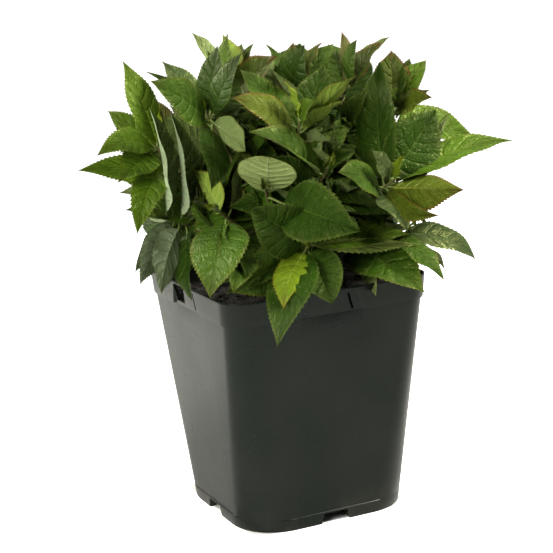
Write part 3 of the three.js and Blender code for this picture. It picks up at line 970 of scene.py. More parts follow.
def leafPoints(template, leaf):
    along, across, sheet, tooth = (template[key] for key in ("along", "across", "sheet", "tooth"))
    side = np.abs(across)
    length, half = leaf["length"], leaf["width"] / 2
    meets = 1 - (1 - along) ** leafShape["veinLean"]
    swell, narrow = leafOutlines[leaf["outline"]]
    peak = swell / (swell + narrow)
    full = meets**swell * (1 - meets) ** narrow / (peak**swell * (1 - peak) ** narrow)
    atFoot, atTip = leafShape["toothFade"]
    bite = tooth * leaf["teeth"] * np.clip(np.minimum(meets / atFoot, (1 - meets) / atTip), 0.1, 1)
    out = across * full * half + np.sign(across) * bite
    place = along + (meets - along) * side ** leafShape["veinArch"] + bite * leafShape["toothLean"] / length
    # relief of the blade
    ridge = 0.5 + 0.5 * np.cos(2 * math.pi * leafShape["veinPairs"] * along)
    blade = np.clip(side / leafShape["ribEdge"], 0, 1) * np.clip((1 - side) / leafShape["marginEdge"], 0, 1)
    rise = -leafShape["quilt"] * ridge * (blade * np.clip(full * 2.5, 0, 1))
    rise = rise - leafShape["groove"] * (side < leafShape["grooveHalf"]) * np.clip(full * 3, 0, 1)
    fold = math.radians(leaf["fold"])
    rise = rise + np.abs(out) * math.sin(fold) - leaf["camber"] * out**2 / half
    turns = 2 * math.pi * leaf["waves"] * place + leaf["phase"] + leafShape["waveShift"] * np.sign(across)
    rise = rise + leaf["wave"] * side**2 * np.sin(turns) * np.clip(full * 1.5, 0, 1)
    rise = rise + sheet * leafShape["thickness"] / 2
    out = out * math.cos(fold)
    turn = np.radians(leaf["twist"]) * (place - 0.5)
    out, rise = out * np.cos(turn) - rise * np.sin(turn), out * np.sin(turn) + rise * np.cos(turn)
    # the midrib's own curve, laid along X with its face to Z
    t = np.linspace(0, 1, leafShape["spineSteps"])
    droop, curl, sweep = (math.radians(leaf[key]) for key in ("droop", "curl", "sweep"))
    pitch = droop * (0.5 - t) - curl * (t**3 - 0.25)
    yaw = sweep * (0.5 - t)
    ways = np.stack([np.cos(pitch) * np.cos(yaw), np.cos(pitch) * np.sin(yaw), np.sin(pitch)], axis=1)
    steps = (ways[1:] + ways[:-1]) / 2 * (length / (len(t) - 1))
    spine = np.vstack([[0, 0, 0], np.cumsum(steps, axis=0)])
    x = spine[-1] / np.linalg.norm(spine[-1])
    y = np.cross((0, 0, 1), x)
    y /= np.linalg.norm(y)
    straighten = np.stack([x, y, np.cross(x, y)])
    spine, ways = spine @ straighten.T, ways @ straighten.T
    middle = np.stack([np.interp(place, t, spine[:, axis]) for axis in range(3)], axis=1)
    middle = middle + np.clip(place - 1, 0, 1)[:, None] * ways[-1] * length
    way = np.stack([np.interp(place, t, ways[:, axis]) for axis in range(3)], axis=1)
    beside = np.cross((0, 0, 1), way)
    beside /= np.linalg.norm(beside, axis=1)[:, None]
    above = np.cross(way, beside)
    local = middle + beside * out[:, None] + above * rise[:, None]
    chord, face = leaf["chord"], leaf["face"]
    frameOf = np.array([chord, face.cross(chord), face], float)
    return np.array(leaf["base"], float) + local @ frameOf, ways[0] @ frameOf


leafTones = {
    # blade, shade and veins of each side, the colour of margin and tip, and how strong each of these is
    "deep": {
        "upper": ((0.020, 0.055, 0.004), (0.008, 0.026, 0.002), (0.055, 0.110, 0.014)),
        "under": ((0.230, 0.300, 0.110), (0.170, 0.235, 0.080), (0.330, 0.400, 0.170)),
        "margin": (0.110, 0.140, 0.030),
        "strength": (0.35, 0.0),
        "shine": 0.22,
    },
    "green": {
        "upper": ((0.042, 0.098, 0.006), (0.020, 0.054, 0.004), (0.090, 0.170, 0.022)),
        "under": ((0.245, 0.325, 0.110), (0.185, 0.260, 0.080), (0.340, 0.420, 0.170)),
        "margin": (0.130, 0.115, 0.022),
        "strength": (0.4, 0.2),
        "shine": 0.34,
    },
    "fresh": {
        "upper": ((0.064, 0.136, 0.004), (0.034, 0.082, 0.003), (0.165, 0.255, 0.024)),
        "under": ((0.260, 0.345, 0.100), (0.200, 0.280, 0.075), (0.360, 0.450, 0.160)),
        "margin": (0.170, 0.180, 0.025),
        "strength": (0.35, 0.35),
        "shine": 0.38,
    },
    "lime": {
        "upper": ((0.185, 0.280, 0.008), (0.105, 0.185, 0.006), (0.300, 0.400, 0.045)),
        "under": ((0.255, 0.360, 0.055), (0.195, 0.290, 0.040), (0.360, 0.470, 0.105)),
        "margin": (0.230, 0.110, 0.018),
        "strength": (0.45, 0.6),
        "shine": 0.38,
    },
    "olive": {
        "upper": ((0.082, 0.118, 0.006), (0.044, 0.074, 0.004), (0.175, 0.205, 0.028)),
        "under": ((0.165, 0.215, 0.045), (0.125, 0.175, 0.034), (0.260, 0.310, 0.080)),
        "margin": (0.150, 0.062, 0.016),
        "strength": (0.75, 0.7),
        "shine": 0.34,
    },
    "bronze": {
        "upper": ((0.046, 0.082, 0.006), (0.030, 0.050, 0.005), (0.120, 0.135, 0.025)),
        "under": ((0.155, 0.160, 0.045), (0.125, 0.120, 0.034), (0.240, 0.225, 0.070)),
        "margin": (0.150, 0.042, 0.016),
        "strength": (0.85, 0.85),
        "shine": 0.3,
    },
    "blue": {
        "upper": ((0.032, 0.068, 0.018), (0.018, 0.042, 0.012), (0.085, 0.145, 0.045)),
        # the under side's pale blade is partly its own colour and partly a painted sheen: it is made
        # lighter to stand for a bluish-grey sheen
        "under": ((0.440, 0.535, 0.330), (0.350, 0.440, 0.255), (0.150, 0.200, 0.100)),
        "margin": (0.120, 0.155, 0.050),
        "strength": (0.3, 0.1),
        "shine": 0.8,
    },
    "pale": {
        "upper": ((0.240, 0.320, 0.070), (0.160, 0.230, 0.045), (0.340, 0.420, 0.130)),
        "under": ((0.300, 0.380, 0.135), (0.240, 0.320, 0.100), (0.400, 0.480, 0.210)),
        "margin": (0.240, 0.250, 0.065),
        "strength": (0.25, 0.2),
        "shine": 0.3,
    },
}
toneNames = list(leafTones)
atlasSide = 4  # each tone has one tile for its upper side and one for its under side
atlasInset = 0.04
leafPatternLook = {
    "ownScale": 34,
    "ownWhere": (0.34, 0.66),
    "veinWidth": (0.10, 0.04),  # at the midrib and at the margin
    "veinEnd": (0.97, 0.7),
    "veinShare": 0.4,
    "ribWidth": 0.012,
    "netCells": (30.0, 9.0),  # along and across
    "netWidth": 0.16,
    "netShare": 0.22,
    "mottleScale": 0.35,
    "mottleWhere": (0.35, 0.68),
    "shadeShares": (0.45, 0.55),  # of the mottle, and of what is each leaf's own
    "marginFrom": (0.86, 1.0),
    "tipFrom": (0.72, 0.98),
    "tipRagged": 0.3,
    "relief": {"net": -0.3, "pillow": 0.75, "mottle": 1.1, "rib": -0.6},
}


def leafPatternGroup(look):
    group = bpy.data.node_groups.new("leafBlade", "ShaderNodeTree")
    for name in ("Blade", "Shade", "Veins", "Margin"):
        group.interface.new_socket(name, in_out="INPUT", socket_type="NodeSocketColor")
    for name in ("Vein Strength", "Margin Strength", "Tip Strength"):
        group.interface.new_socket(name, in_out="INPUT", socket_type="NodeSocketFloat")
    group.interface.new_socket("Colour", in_out="OUTPUT", socket_type="NodeSocketColor")
    group.interface.new_socket("Gloss", in_out="OUTPUT", socket_type="NodeSocketFloat")
    group.interface.new_socket("Height", in_out="OUTPUT", socket_type="NodeSocketFloat")
    given = addNode(group, "NodeGroupInput").outputs
    uv = addNode(group, "ShaderNodeUVMap", uv_map="OFBake").outputs[0]
    parts = addNode(group, "ShaderNodeSeparateXYZ", {"Vector": uv})

    def tilePart(value):
        inTile = calculate(group, "FRACT", calculate(group, "MULTIPLY", value, float(atlasSide)))
        low, high = atlasInset, 1 - atlasInset
        settings = {"Value": inTile, "From Min": low, "From Max": high}
        return addNode(group, "ShaderNodeMapRange", settings).outputs[0]

    along = tilePart(parts.outputs["X"])
    across = calculate(group, "MULTIPLY_ADD", tilePart(parts.outputs["Y"]), 2.0, -1.0)
    side = calculate(group, "ABSOLUTE", across)
    place = addNode(group, "ShaderNodeTexCoord").outputs["Object"]
    settings = {"Vector": place, "Scale": look["ownScale"], "Detail": 2}
    ownNoise = addNode(group, "ShaderNodeTexNoise", settings).outputs[0]
    rows = calculate(group, "MULTIPLY_ADD", along, float(leafShape["veinPairs"]), ownNoise)
    off = calculate(group, "SUBTRACT", calculate(group, "FRACT", rows), 0.5)
    off = calculate(group, "ABSOLUTE", off)
    veinWidth = ramp(group, side, 0.0, 1.0, *look["veinWidth"])
    veins = ramp(group, off, calculate(group, "MULTIPLY", veinWidth, 0.25), veinWidth, 1.0, 0.0)
    veins = calculate(group, "MULTIPLY", veins, ramp(group, side, *look["veinEnd"]))
    bulge = calculate(group, "MULTIPLY", along, calculate(group, "SUBTRACT", 1.0, along))
    ribWidth = calculate(group, "DIVIDE", look["ribWidth"], calculate(group, "MAXIMUM", bulge, 0.05))
    rib = ramp(group, side, calculate(group, "MULTIPLY", ribWidth, 0.5), ribWidth, 1.0, 0.0)
    netAlong, netAcross = look["netCells"]
    netX = calculate(group, "MULTIPLY", along, netAlong)
    netY = calculate(group, "MULTIPLY", across, netAcross)
    net = addNode(group, "ShaderNodeCombineXYZ", {"X": netX, "Y": netY}).outputs[0]
    settings = {"Vector": net, "Scale": 1.0}
    cells = addNode(group, "ShaderNodeTexVoronoi", settings, feature="DISTANCE_TO_EDGE")
    netting = ramp(group, cells.outputs["Distance"], 0.0, look["netWidth"], 1.0, 0.0)
    settings = {"Vector": net, "Scale": look["mottleScale"], "Detail": 4}
    mottleNoise = addNode(group, "ShaderNodeTexNoise", settings).outputs[0]
    mottle = ramp(group, mottleNoise, *look["mottleWhere"])
    own = ramp(group, ownNoise, *look["ownWhere"])
    mottleShare, ownShare = look["shadeShares"]
    ownShade = calculate(group, "MULTIPLY", own, ownShare)
    shade = calculate(group, "MULTIPLY_ADD", mottle, mottleShare, ownShade)
    tinted = blendColour(group, shade, given["Blade"], given["Shade"])
    netted = calculate(group, "MULTIPLY", netting, look["netShare"])
    tinted = blendColour(group, netted, tinted, given["Veins"])
    lines = calculate(group, "MAXIMUM", calculate(group, "MULTIPLY", veins, look["veinShare"]), rib)
    lines = calculate(group, "MULTIPLY", lines, given["Vein Strength"])
    tinted = blendColour(group, lines, tinted, given["Veins"])
    edge = calculate(group, "MULTIPLY", ramp(group, side, *look["marginFrom"]), given["Margin Strength"])
    tinted = blendColour(group, edge, tinted, given["Margin"])
    ragged = look["tipRagged"]
    ragged = calculate(group, "MULTIPLY_ADD", mottleNoise, ragged, -ragged / 2)
    patchy = calculate(group, "ADD", along, ragged)
    end = calculate(group, "MULTIPLY", ramp(group, patchy, *look["tipFrom"]), given["Tip Strength"])
    tinted = blendColour(group, end, tinted, given["Margin"])
    pillow = calculate(group, "MULTIPLY", ramp(group, off, 0.0, 0.2), ramp(group, side, 1.0, 0.7))
    relief = look["relief"]
    pillow = calculate(group, "MULTIPLY", pillow, relief["pillow"])
    height = calculate(group, "MULTIPLY_ADD", netting, relief["net"], pillow)
    height = calculate(group, "MULTIPLY_ADD", mottleNoise, relief["mottle"], height)
    height = calculate(group, "MULTIPLY_ADD", rib, relief["rib"], height)
    out = addNode(group, "NodeGroupOutput")
    group.links.new(tinted, out.inputs["Colour"])
    group.links.new(shade, out.inputs["Gloss"])
    group.links.new(height, out.inputs["Height"])
    return group


leafPattern = leafPatternGroup(leafPatternLook)

leafFinish = {
    # upper and under side
    "veinStrength": (0.9, 0.85),
    "roughness": ((0.33, 0.46), (0.6, 0.75)),
    "underShine": 0.25,
    "shineTint": colour(1.0, 1.0, 0.3),
    "reliefDepth": 0.0012,
}


def leafMaterial(tone, sideName):
    look = leafTones[tone]
    material, tree, surface = newMaterial(f"{tone}Leaf{sideName.capitalize()}")
    blade, shade, veins = look[sideName]
    marginStrength, tipStrength = look["strength"]
    pattern = addNode(tree, "ShaderNodeGroup", node_tree=leafPattern)
    for name, value in (("Blade", blade), ("Shade", shade), ("Veins", veins), ("Margin", look["margin"])):
        pattern.inputs[name].default_value = colour(*value)
    upper = sideName == "upper"
    which = 0 if upper else 1
    pattern.inputs["Vein Strength"].default_value = leafFinish["veinStrength"][which]
    pattern.inputs["Margin Strength"].default_value = marginStrength
    pattern.inputs["Tip Strength"].default_value = tipStrength
    tree.links.new(pattern.outputs["Colour"], surface.inputs["Base Color"])
    rough = ramp(tree, pattern.outputs["Gloss"], 0.0, 1.0, *leafFinish["roughness"][which])
    tree.links.new(rough, surface.inputs["Roughness"])
    shine = look["shine"] if upper else leafFinish["underShine"]
    surface.inputs["Specular IOR Level"].default_value = shine
    surface.inputs["Specular Tint"].default_value = leafFinish["shineTint"]
    settings = {"Height": pattern.outputs["Height"], "Strength": 1.0, "Distance": leafFinish["reliefDepth"]}
    bump = addNode(tree, "ShaderNodeBump", settings, invert=not upper)
    tree.links.new(bump.outputs[0], surface.inputs["Normal"])
    return material


leafMaterials = []
for tone in toneNames:
    leafMaterials += [leafMaterial(tone, "upper"), leafMaterial(tone, "under")]


# leaves listed one by one: bearing and lift of the leaf, length, width, droop, roll about its midrib, tone,
# outline, how far down the shoot it is joined, its stalk, and what else is its own
setLeaves = {
    "left": [
        (116, 64, 78, 34, 20, 92, "fresh", "oval", 8, 8),
        (128, 35, 62, 28, 20, 19, "fresh", "oval", 14, 6),
        (-156, 3, 67, 25, 44, -83, "fresh", "oval", 4, 6, {"sweep": -46}),
        (162, 5, 84, 26, -46, -56, "fresh", "oval", 34, 8, {"sweep": -30}),
        (-149, -20, 54, 32, 20, -64, "fresh", "oval", 4, 5),
        (65, 49, 46, 26, 10, -9, "lime", "oval", 4, 4),
        (-139, -43, 74, 28, 20, -55, "fresh", "oval", 14, 8, {"sweep": -20}),
    ],
    "top_left": [
        (112, 42, 68, 34, 20, 38, "blue", "oval", 10, 8),
        (129, 38, 74, 32, 20, 29, "green", "oval", 18, 8),
        (-154, 31, 74, 38, 20, -89, "green", "oval", 10, 8),
        (-116, -33, 74, 36, 14, -74, "deep", "oval", 12, 8, {"fold": 8, "wave": 0.8}),
        (32, 72, 56, 32, 10, 9, "deep", "oval", 6, 6),
        (-54, 58, 60, 28, 15, 35, "deep", "oval", 8, 6),
        (-85, -20, 56, 26, 20, -120, "green", "oval", 8, 6),
        (32, 35, 48, 30, 15, 58, "deep", "oval", 8, 6),
    ],
    "top_back_left": [
        (107, 49, 62, 26, 20, 93, "pale", "oval", 10, 8),
        (68, 54, 50, 32, 10, 163, "lime", "oval", 6, 6),
        (-94, 76, 44, 30, 10, 77, "fresh", "oval", 6, 6),
        (24, 45, 48, 22, 10, 18, "green", "oval", 8, 6),
        (-67, 32, 62, 34, 20, 68, "bronze", "oval", 14, 8),
        (48, 42, 56, 32, 20, 5, "fresh", "oval", 12, 6),
        (91, 49, 54, 26, 20, 39, "green", "oval", 14, 6),
        (74, 17, 56, 34, 15, 10, "deep", "oval", 14, 6),
    ],
    "top_middle": [
        (-92, 56, 56, 38, 10, 120, "deep", "oval", 16, 8),
        (21, 45, 54, 30, 20, -14, "bronze", "oval", 10, 8),
        (97, 47, 48, 26, 20, 16, "green", "oval", 6, 8),
        (15, 36, 58, 32, 15, 10, "green", "oval", 6, 6),
        (58, 47, 52, 30, 15, -46, "bronze", "oval", 8, 6),
        (50, 47, 56, 38, 15, 10, "deep", "oval", 12, 6),
    ],
    "top_right": [
        (66, 50, 54, 22, 10, 90, "bronze", "oval", 8, 6),
        (-99, 53, 48, 22, 15, 135, "green", "oval", 8, 6),
        (16, 36, 62, 24, 15, -78, "green", "slim", 10, 8),
        (-49, 50, 50, 28, 30, 84, "bronze", "oval", 14, 8),
        (76, 27, 62, 34, 20, -7, "deep", "oval", 18, 6),
        (35, 28, 60, 34, 15, -24, "deep", "oval", 22, 6),
        (77, 39, 58, 36, 15, -40, "green", "oval", 14, 6),
    ],
    "centre_upper": [
        (17, 59, 60, 34, 20, 15, "deep", "oval", 16, 6),
        (-54, 39, 66, 24, 15, -53, "lime", "slim", 10, 6),
        (-52, 33, 46, 20, 15, -47, "lime", "slim", 14, 6),
        (180, 28, 60, 36, 20, -15, "olive", "oval", 8, 6),
        (-91, 34, 34, 20, 15, 72, "fresh", "slim", 2, 3),
        (-172, 69, 36, 14, 30, 13, "lime", "slim", 2, 3),
    ],
    "upper_right": [
        (44, 38, 62, 30, 20, -82, "fresh", "oval", 12, 8),
        (22, 41, 54, 30, 30, -54, "fresh", "oval", 8, 6),
        (-61, 29, 36, 20, 20, 23, "pale", "oval", 10, 5),
        (55, 41, 72, 38, 15, -91, "green", "oval", 16, 6),
        (29, 38, 54, 34, 20, -54, "deep", "oval", 14, 6),
        (-77, 20, 48, 28, 30, 91, "olive", "oval", 14, 6),
        (1, -15, 84, 40, 30, 31, "fresh", "oval", 20, 8),
        (61, 49, 60, 34, 15, -57, "bronze", "oval", 12, 8),
        (90, 28, 56, 32, 15, -75, "deep", "oval", 20, 6),
    ],
    "right": [
        (59, 62, 108, 46, 20, -90, "deep", "oval", 14, 8),
        (15, 43, 76, 50, 20, -15, "deep", "oval", 8, 6),
        (6, 39, 78, 18, 50, 138, "pale", "oval", 6, 6),
        (-6, 12, 118, 36, 34, -32, "fresh", "slim", 10, 8),
        (-55, 0, 66, 36, 20, 56, "olive", "oval", 12, 6, {"fold": -24}),
        (-77, -13, 66, 18, 20, 88, "olive", "oval", 14, 6, {"sweep": -60}),
        (-160, 52, 34, 20, 20, -22, "blue", "slim", 4, 4),
        (-153, 20, 62, 34, 20, 0, "green", "oval", 14, 6),
        (-94, -28, 52, 28, 30, 25, "blue", "oval", 18, 6),
        (-87, 53, 26, 12, 20, -163, "lime", "slim", 2, 3),
    ],
    "low_right": [
        (-9, -25, 81, 30, 80, -10, "blue", "oval", 10, 8),
        (-7, -35, 60, 26, 40, -57, "pale", "oval", 18, 8),
        (-79, -30, 62, 26, 6, 37, "green", "oval", 8, 6),
        (-74, -18, 90, 56, 34, 66, "green", "oval", 56, 8),
        (-101, -28, 66, 15, 30, -60, "pale", "oval", 50, 6),
    ],
    "front_centre": [
        (-5, -1, 88, 34, 20, -42, "fresh", "slim", 8, 6),
        (-158, 33, 70, 48, 20, -25, "deep", "round", 8, 6),
        (-135, -38, 98, 44, 30, 45, "deep", "slim", 12, 8, {"sweep": 12}),
        (-135, -31, 66, 28, 15, 34, "lime", "oval", 12, 8, {"sweep": -24}),
        (-91, -41, 54, 40, 20, 10, "deep", "round", 14, 6),
        (-139, 22, 26, 16, 20, 32, "lime", "slim", 2, 3),
        (-165, -16, 76, 42, 20, 42, "deep", "oval", 30, 10),
        (-160, -12, 80, 42, 20, -14, "green", "oval", 30, 10),
        (36, 6, 50, 34, 15, 0, "deep", "oval", 40, 6),
        (-11, -5, 94, 12, 20, 20, "pale", "slim", 8, 4),
    ],
    "centre_middle": [
        (-171, 32, 78, 44, 20, 12, "green", "oval", 10, 6, {"fold": 34}),
    ],
    "front_left": [
        (-127, -36, 82, 48, 30, -15, "green", "oval", 12, 6),
        (-107, -28, 62, 40, 20, -71, "deep", "oval", 26, 8),
        (94, 33, 56, 28, 16, 146, "lime", "oval", 4, 4),
        (39, 42, 76, 20, 15, -80, "pale", "oval", 14, 8),
        (-117, -29, 78, 38, 20, -57, "green", "oval", 26, 8),
    ],
    "centre_left": [
        (-111, 49, 44, 46, -10, -146, "pale", "fan", 16, 8, {"fold": 4, "wave": 0.9, "curl": 0}),
        (-61, -14, 76, 52, 20, 27, "deep", "oval", 14, 16),
    ],
    "low_left": [
        (-151, -28, 60, 30, 20, 39, "blue", "oval", 12, 8),
        (-141, -32, 70, 34, 20, 49, "blue", "oval", 10, 8),
        (-128, -35, 74, 34, 20, 61, "blue", "oval", 14, 8),
        (-111, -42, 72, 30, 20, 0, "deep", "oval", 20, 8),
        (-127, 72, 96, 36, 14, 155, "blue", "oval", 2, 6, {"fold": 36}),
        (-118, 72, 96, 40, 16, 152, "blue", "oval", 16, 8, {"fold": 36}),
        (93, 13, 46, 24, 10, -137, "blue", "oval", 8, 6),
        (100, -14, 50, 34, 10, -33, "deep", "oval", 8, 6),
    ],
}

headGrowth = {
    # one row for each pair of leaves, from the growing tip down the shoot
    "setBack": (0.5, 3, 8, 15, 25, 38, 54),
    "length": (16, 30, 46, 62, 74, 78, 74),
    "tilt": (10, 24, 42, 58, 72, 86, 98),
    "stalk": (2, 3, 4, 6, 8, 10, 12),
    "slender": 0.46,  # width over length
    "sizeSpread": (0.88, 1.1),  # from pair to pair
    "lengthSpread": (0.92, 1.06),  # from leaf to leaf
    "widthSpread": (0.9, 1.12),
    "rollSpread": 12,
    "droop": (8, 5),  # at the tip, and how much more with each pair
    "droopSpread": (-6, 10),
    "fold": (42, 7, 6),  # at the tip, how much less with each pair, and the least
    "jitter": 9,
    "spiral": 90,
    "crownMiddle": (8, 12, 282),
    "crown": (148, 152, 124),  # half sizes of the space that grown leaves keep to
    "regions": {
        "front": ("front_centre", "centre_middle", "centre_left", "front_left"),
        "left": ("left", "low_left", "side_left", "top_left", "low_back_left"),
        "right": ("right", "low_right", "upper_right", "side_right", "low_back_right"),
        "top": ("top_middle", "top_right", "top_back_left", "centre_upper", "top_back"),
        "back": ("back", "back_left", "back_right", "low_back"),
    },
    "tonesByAge": (
        ("lime", "pale", "lime"),
        ("lime", "fresh", "bronze"),
        ("fresh", "green", "olive", "bronze"),
        ("green", "green", "fresh", "deep"),
        ("green", "deep", "deep"),
        ("deep", "deep", "green"),
        ("deep", "deep", "green"),
    ),
}


def rolledFace(chord, axis, roll):
    face = axis - chord * axis.dot(chord)
    if face.length < 0.05:
        face = Vector((0, 0, 1)) - chord * chord.z
    face.normalize()
    return (Matrix.Rotation(math.radians(roll), 3, chord) @ face).normalized()


def insideOf(point, middle, halfSizes):
    return sum(((p - m) / h) ** 2 for p, m, h in zip(point, middle, halfSizes)) < 1


potRoom = {"rimTop": 209, "rimInside": 86, "rimOutside": 98, "mixTop": 195}


def touchesPot(points):
    # the rim of the pot and the mix inside it
    height, reach = points[:, 2], np.abs(points[:, :2]).max(axis=1)
    rim = (height < potRoom["rimTop"]) & (reach > potRoom["rimInside"]) & (reach < potRoom["rimOutside"])
    mix = (height < potRoom["mixTop"]) & (reach < potRoom["rimOutside"])
    return bool((rim | mix).any())


stalkShape = {
    "leavesStraight": 0.4,  # share of its length that a stalk keeps the shoot's way, and the leaf's
    "meetsStraight": 0.45,
    "intoBlade": 1.5,
    "radius": (1.05, 0.75),
    "radiusSpread": (0.9, 1.1),
    "stepLength": 2.5,
    "sides": 6,
}


def addStalk(joint, leaving, base, start, rng):
    apart = (base - joint).length
    early = joint + leaving * apart * stalkShape["leavesStraight"]
    late = base - start * apart * stalkShape["meetsStraight"]
    end = base + start * stalkShape["intoBlade"]
    curve = curvePoints([joint, early, late, end], stalkShape["stepLength"])
    radii = np.linspace(*stalkShape["radius"], len(curve)) * rng.uniform(*stalkShape["radiusSpread"])
    addTube(stalkBatch, curve, radii, stalkShape["sides"])


def placeLeaf(batch, template, leaf, joint, axis, rng):
    # the stalk leaves the joint, and the blade begins at its end
    # a grown leaf is left out where it meets the pot or a listed leaf, or leaves the crown's space
    # one that is listed always stays, even where it cuts into the pot
    leaf["base"] = joint + leaf["chord"] * leaf["stalk"]
    points, start = leafPoints(template, leaf)
    if not leaf.get("set"):
        if touchesPot(points) or not insideOf(points[1], headGrowth["crownMiddle"], headGrowth["crown"]):
            return False
        if BVHTree.FromPolygons(points.tolist(), template["faces"].tolist()).overlap(setSurface):
            return False
    pattern = template["pattern"]
    tile = 2 * toneNames.index(leaf["tone"]) + (template["sheets"] < 0)
    column, row = tile % atlasSide, tile // atlasSide
    u = atlasInset + pattern[:, :, 0] * (1 - 2 * atlasInset)
    v = atlasInset + (pattern[:, :, 1] + 1) / 2 * (1 - 2 * atlasInset)
    uv = np.stack([(u + column[:, None]) / atlasSide, (v + row[:, None]) / atlasSide], axis=2)
    addToBatch(batch, points, template["faces"], tile, uv.reshape(-1, 2), template["sheet"] == 0)
    addStalk(joint, (axis + leaf["chord"]).normalized(), leaf["base"], Vector(start), rng)
    return True


def jointAt(shoot, setBack):
    run = shoot["run"]
    return Vector([np.interp(run[-1] - setBack, run, shoot["curve"][:, axis]) for axis in range(3)])


setCurl, setSweep = 6, (-8, 8)


def setLeaf(row, shoot, rng):
    bearing, lift, length, width, droop, roll, tone, outline, setBack, stalk, *changes = row
    chord = bearingVector(bearing, lift)
    leaf = leafDefaults(rng)
    leaf.update(length=length, width=width, droop=droop, tone=tone, outline=outline, stalk=stalk, set=True)
    leaf.update(chord=chord, face=rolledFace(chord, shoot["axis"], roll))
    leaf.update(curl=setCurl, sweep=rng.uniform(*setSweep))
    leaf.update(*changes)
    return leaf, jointAt(shoot, setBack)


def grownPairs(shoot, rng, growth, spin, scale=1.0):
    # crossed pairs of leaves, each with the one that it stands opposite
    axis = shoot["axis"]
    aside = axis.orthogonal().normalized()
    droop, droopStep = growth["droop"]
    fold, foldStep, leastFold = growth["fold"]
    for pair in range(len(growth["setBack"])):
        around = math.radians(spin + growth["spiral"] * pair + rng.gauss(0, growth["jitter"]))
        size = scale * rng.uniform(*growth["sizeSpread"])
        for opposite in (0, 1):
            turn = around + opposite * math.pi + math.radians(rng.gauss(0, growth["jitter"]))
            tilt = math.radians(growth["tilt"][pair] + rng.gauss(0, growth["jitter"]))
            out = Matrix.Rotation(turn, 3, axis) @ aside
            chord = (axis * math.cos(tilt) + out * math.sin(tilt)).normalized()
            leaf = leafDefaults(rng)
            length = growth["length"][pair] * size * rng.uniform(*growth["lengthSpread"])
            width = length * growth["slender"] * rng.uniform(*growth["widthSpread"])
            leaf.update(length=length, width=width, chord=chord)
            leaf.update(face=rolledFace(chord, axis, rng.gauss(0, growth["rollSpread"])))
            leaf.update(tone=rng.choice(growth["tonesByAge"][pair]), stalk=growth["stalk"][pair] * scale)
            leaf.update(droop=droop + droopStep * pair + rng.uniform(*growth["droopSpread"]))
            leaf.update(fold=max(leastFold, fold - foldStep * pair))
            yield pair, leaf, jointAt(shoot, growth["setBack"][pair] * scale)


regionOf = {head: region for region, heads in headGrowth["regions"].items() for head in heads}
leafBatches = {region: newBatch() for region in headGrowth["regions"]}
leafRandom = {head: random.Random(f"leaves {head}") for head in sorted(shoots)}
setPlaces = {}
for head, rng in leafRandom.items():
    setPlaces[head] = []
    for row in setLeaves.get(head, []):
        leaf, joint = setLeaf(row, shoots[head], rng)
        placeLeaf(leafBatches[regionOf[head]], fullLeaf, leaf, joint, shoots[head]["axis"], rng)
        setPlaces[head].append((leaf["chord"], row[8]))

setPoints = np.concatenate([points for batch in leafBatches.values() for points in batch["points"]])
pointsEach = len(fullLeaf["along"])
setFaces = [fullLeaf["faces"] + start for start in range(0, len(setPoints), pointsEach)]
setSurface = BVHTree.FromPolygons(setPoints.tolist(), np.concatenate(setFaces).tolist())

turnPerMm = 0.02  # one mm along the shoot counts as this turn, in radians
outerPair = 3  # where leaves are listed, the pairs from the second down to this one are not grown
innerTones = ("deep", "deep", "green")
leafCount = sum(len(places) for places in setPlaces.values())
for head, rng in leafRandom.items():
    shoot = shoots[head]
    grown = list(grownPairs(shoot, rng, headGrowth, rng.uniform(0, 90)))
    # each listed leaf stands for the grown one that is nearest to it
    for chord, setBack in setPlaces[head]:
        if grown:
            apart = [
                leaf["chord"].angle(chord) + abs(headGrowth["setBack"][pair] - setBack) * turnPerMm
                for pair, leaf, joint in grown
            ]
            grown.pop(apart.index(min(apart)))
    if setPlaces[head]:
        grown = [item for item in grown if item[0] == 0 or item[0] > outerPair]
        for pair, leaf, joint in grown:
            leaf["tone"] = leaf["tone"] if pair == 0 else rng.choice(innerTones)
    for pair, leaf, joint in grown:
        if placeLeaf(leafBatches[regionOf[head]], fullLeaf, leaf, joint, shoot["axis"], rng):
            leafCount += 1
report(f"{leafCount} leaves on the leading shoots")


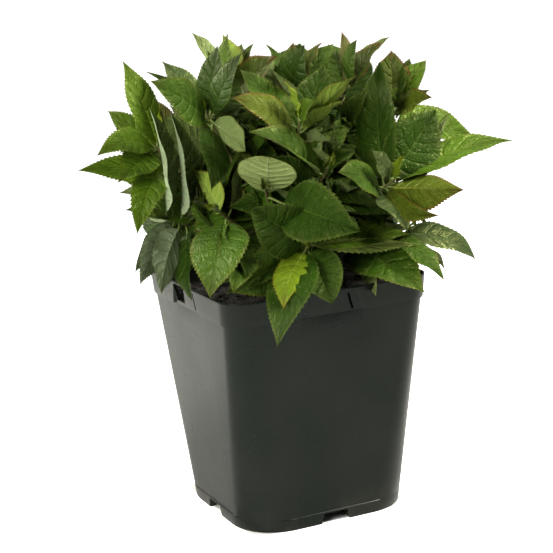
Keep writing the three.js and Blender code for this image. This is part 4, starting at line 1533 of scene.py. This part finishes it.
sideGrowth = {
    "perBough": 8,
    "places": (0.3, 0.92),  # share of the bough's length
    "length": (16, 40),
    "spread": (35, 70),  # degrees away from the bough
    "upturn": 0.2,
    "roomMiddle": (8, 14, 272),
    "room": (92, 96, 92),  # half sizes of the space that their tips keep to
    "lowest": 228,
    "radius": (1.2, 0.85),
    "jointEvery": (9, 14),
    "jointSwell": 0.25,
    "relief": 0.06,
    "stepLength": 2.2,
    "sides": 8,
    "size": (0.55, 0.8),
}
sideLeaves = {
    **headGrowth,
    "setBack": (1, 4, 12, 22),
    "length": (34, 60, 84, 96),
    "tilt": (22, 48, 74, 92),
    "stalk": (3, 6, 9, 12),
    "tonesByAge": (
        ("green", "fresh", "olive"),
        ("green", "deep"),
        ("deep", "green"),
        ("deep", "deep", "green"),
    ),
}
sideCount = 0
for head in sorted(shoots):
    shoot = shoots[head]
    rng = random.Random(f"side shoots {head}")
    batch = leafBatches[regionOf[head]]
    for _ in range(sideGrowth["perBough"]):
        share = rng.uniform(*sideGrowth["places"])
        index = int(share * (len(shoot["curve"]) - 2))
        joint = Vector(shoot["curve"][index])
        along = (Vector(shoot["curve"][index + 1]) - joint).normalized()
        around = Matrix.Rotation(rng.uniform(0, 2 * math.pi), 3, along) @ along.orthogonal().normalized()
        spread = math.radians(rng.uniform(*sideGrowth["spread"]))
        way = (along * math.cos(spread) + around * math.sin(spread)).normalized()
        length = rng.uniform(*sideGrowth["length"])
        tip = joint + way * length + Vector((0, 0, length * sideGrowth["upturn"]))
        if not insideOf(tip, sideGrowth["roomMiddle"], sideGrowth["room"]) or tip.z < sideGrowth["lowest"]:
            continue
        end = (tip - joint).normalized()
        curve = curvePoints([joint, joint + way * length * 0.5, tip], sideGrowth["stepLength"])
        run = runAlong(curve)
        radii = np.linspace(*sideGrowth["radius"], len(curve))
        radii = radii * swollenJoints(run, sideGrowth["jointEvery"], sideGrowth["jointSwell"], rng)
        seed = rng.uniform(*woodShape["skinSeeds"])
        addTube(shootBatch, curve, radii, sideGrowth["sides"], sideGrowth["relief"], seed)
        twig = {"axis": end, "curve": curve, "run": run}
        scale = rng.uniform(*sideGrowth["size"])
        for pair, leaf, where in grownPairs(twig, rng, sideLeaves, rng.uniform(0, 90), scale):
            if placeLeaf(batch, innerLeaf, leaf, where, end, rng):
                sideCount += 1
report(f"{sideCount} leaves on the side shoots")

for region, batch in leafBatches.items():
    mesh = batchMesh(f"leaves_{region}", batch, leafMaterials)
    replaced = [f"foliage_{head}" for head in headGrowth["regions"][region]]
    placePiece(f"leaves_{region}", mesh, "foliage", *replaced)
    report(f"leaves_{region}: {len(mesh.polygons)} faces")

placePiece("stems", batchMesh("stems", stemBatch, [stemBark]), "stem", *stemNames)
placePiece("shoots", batchMesh("shoots", shootBatch, [shootBark]), "shoot", *boughNames)
stalkSkin = barkMaterial("stalkSkin", "stalk")
placePiece("leafStalks", batchMesh("leafStalks", stalkBatch, [stalkSkin]), "shoot")
report("leaves")
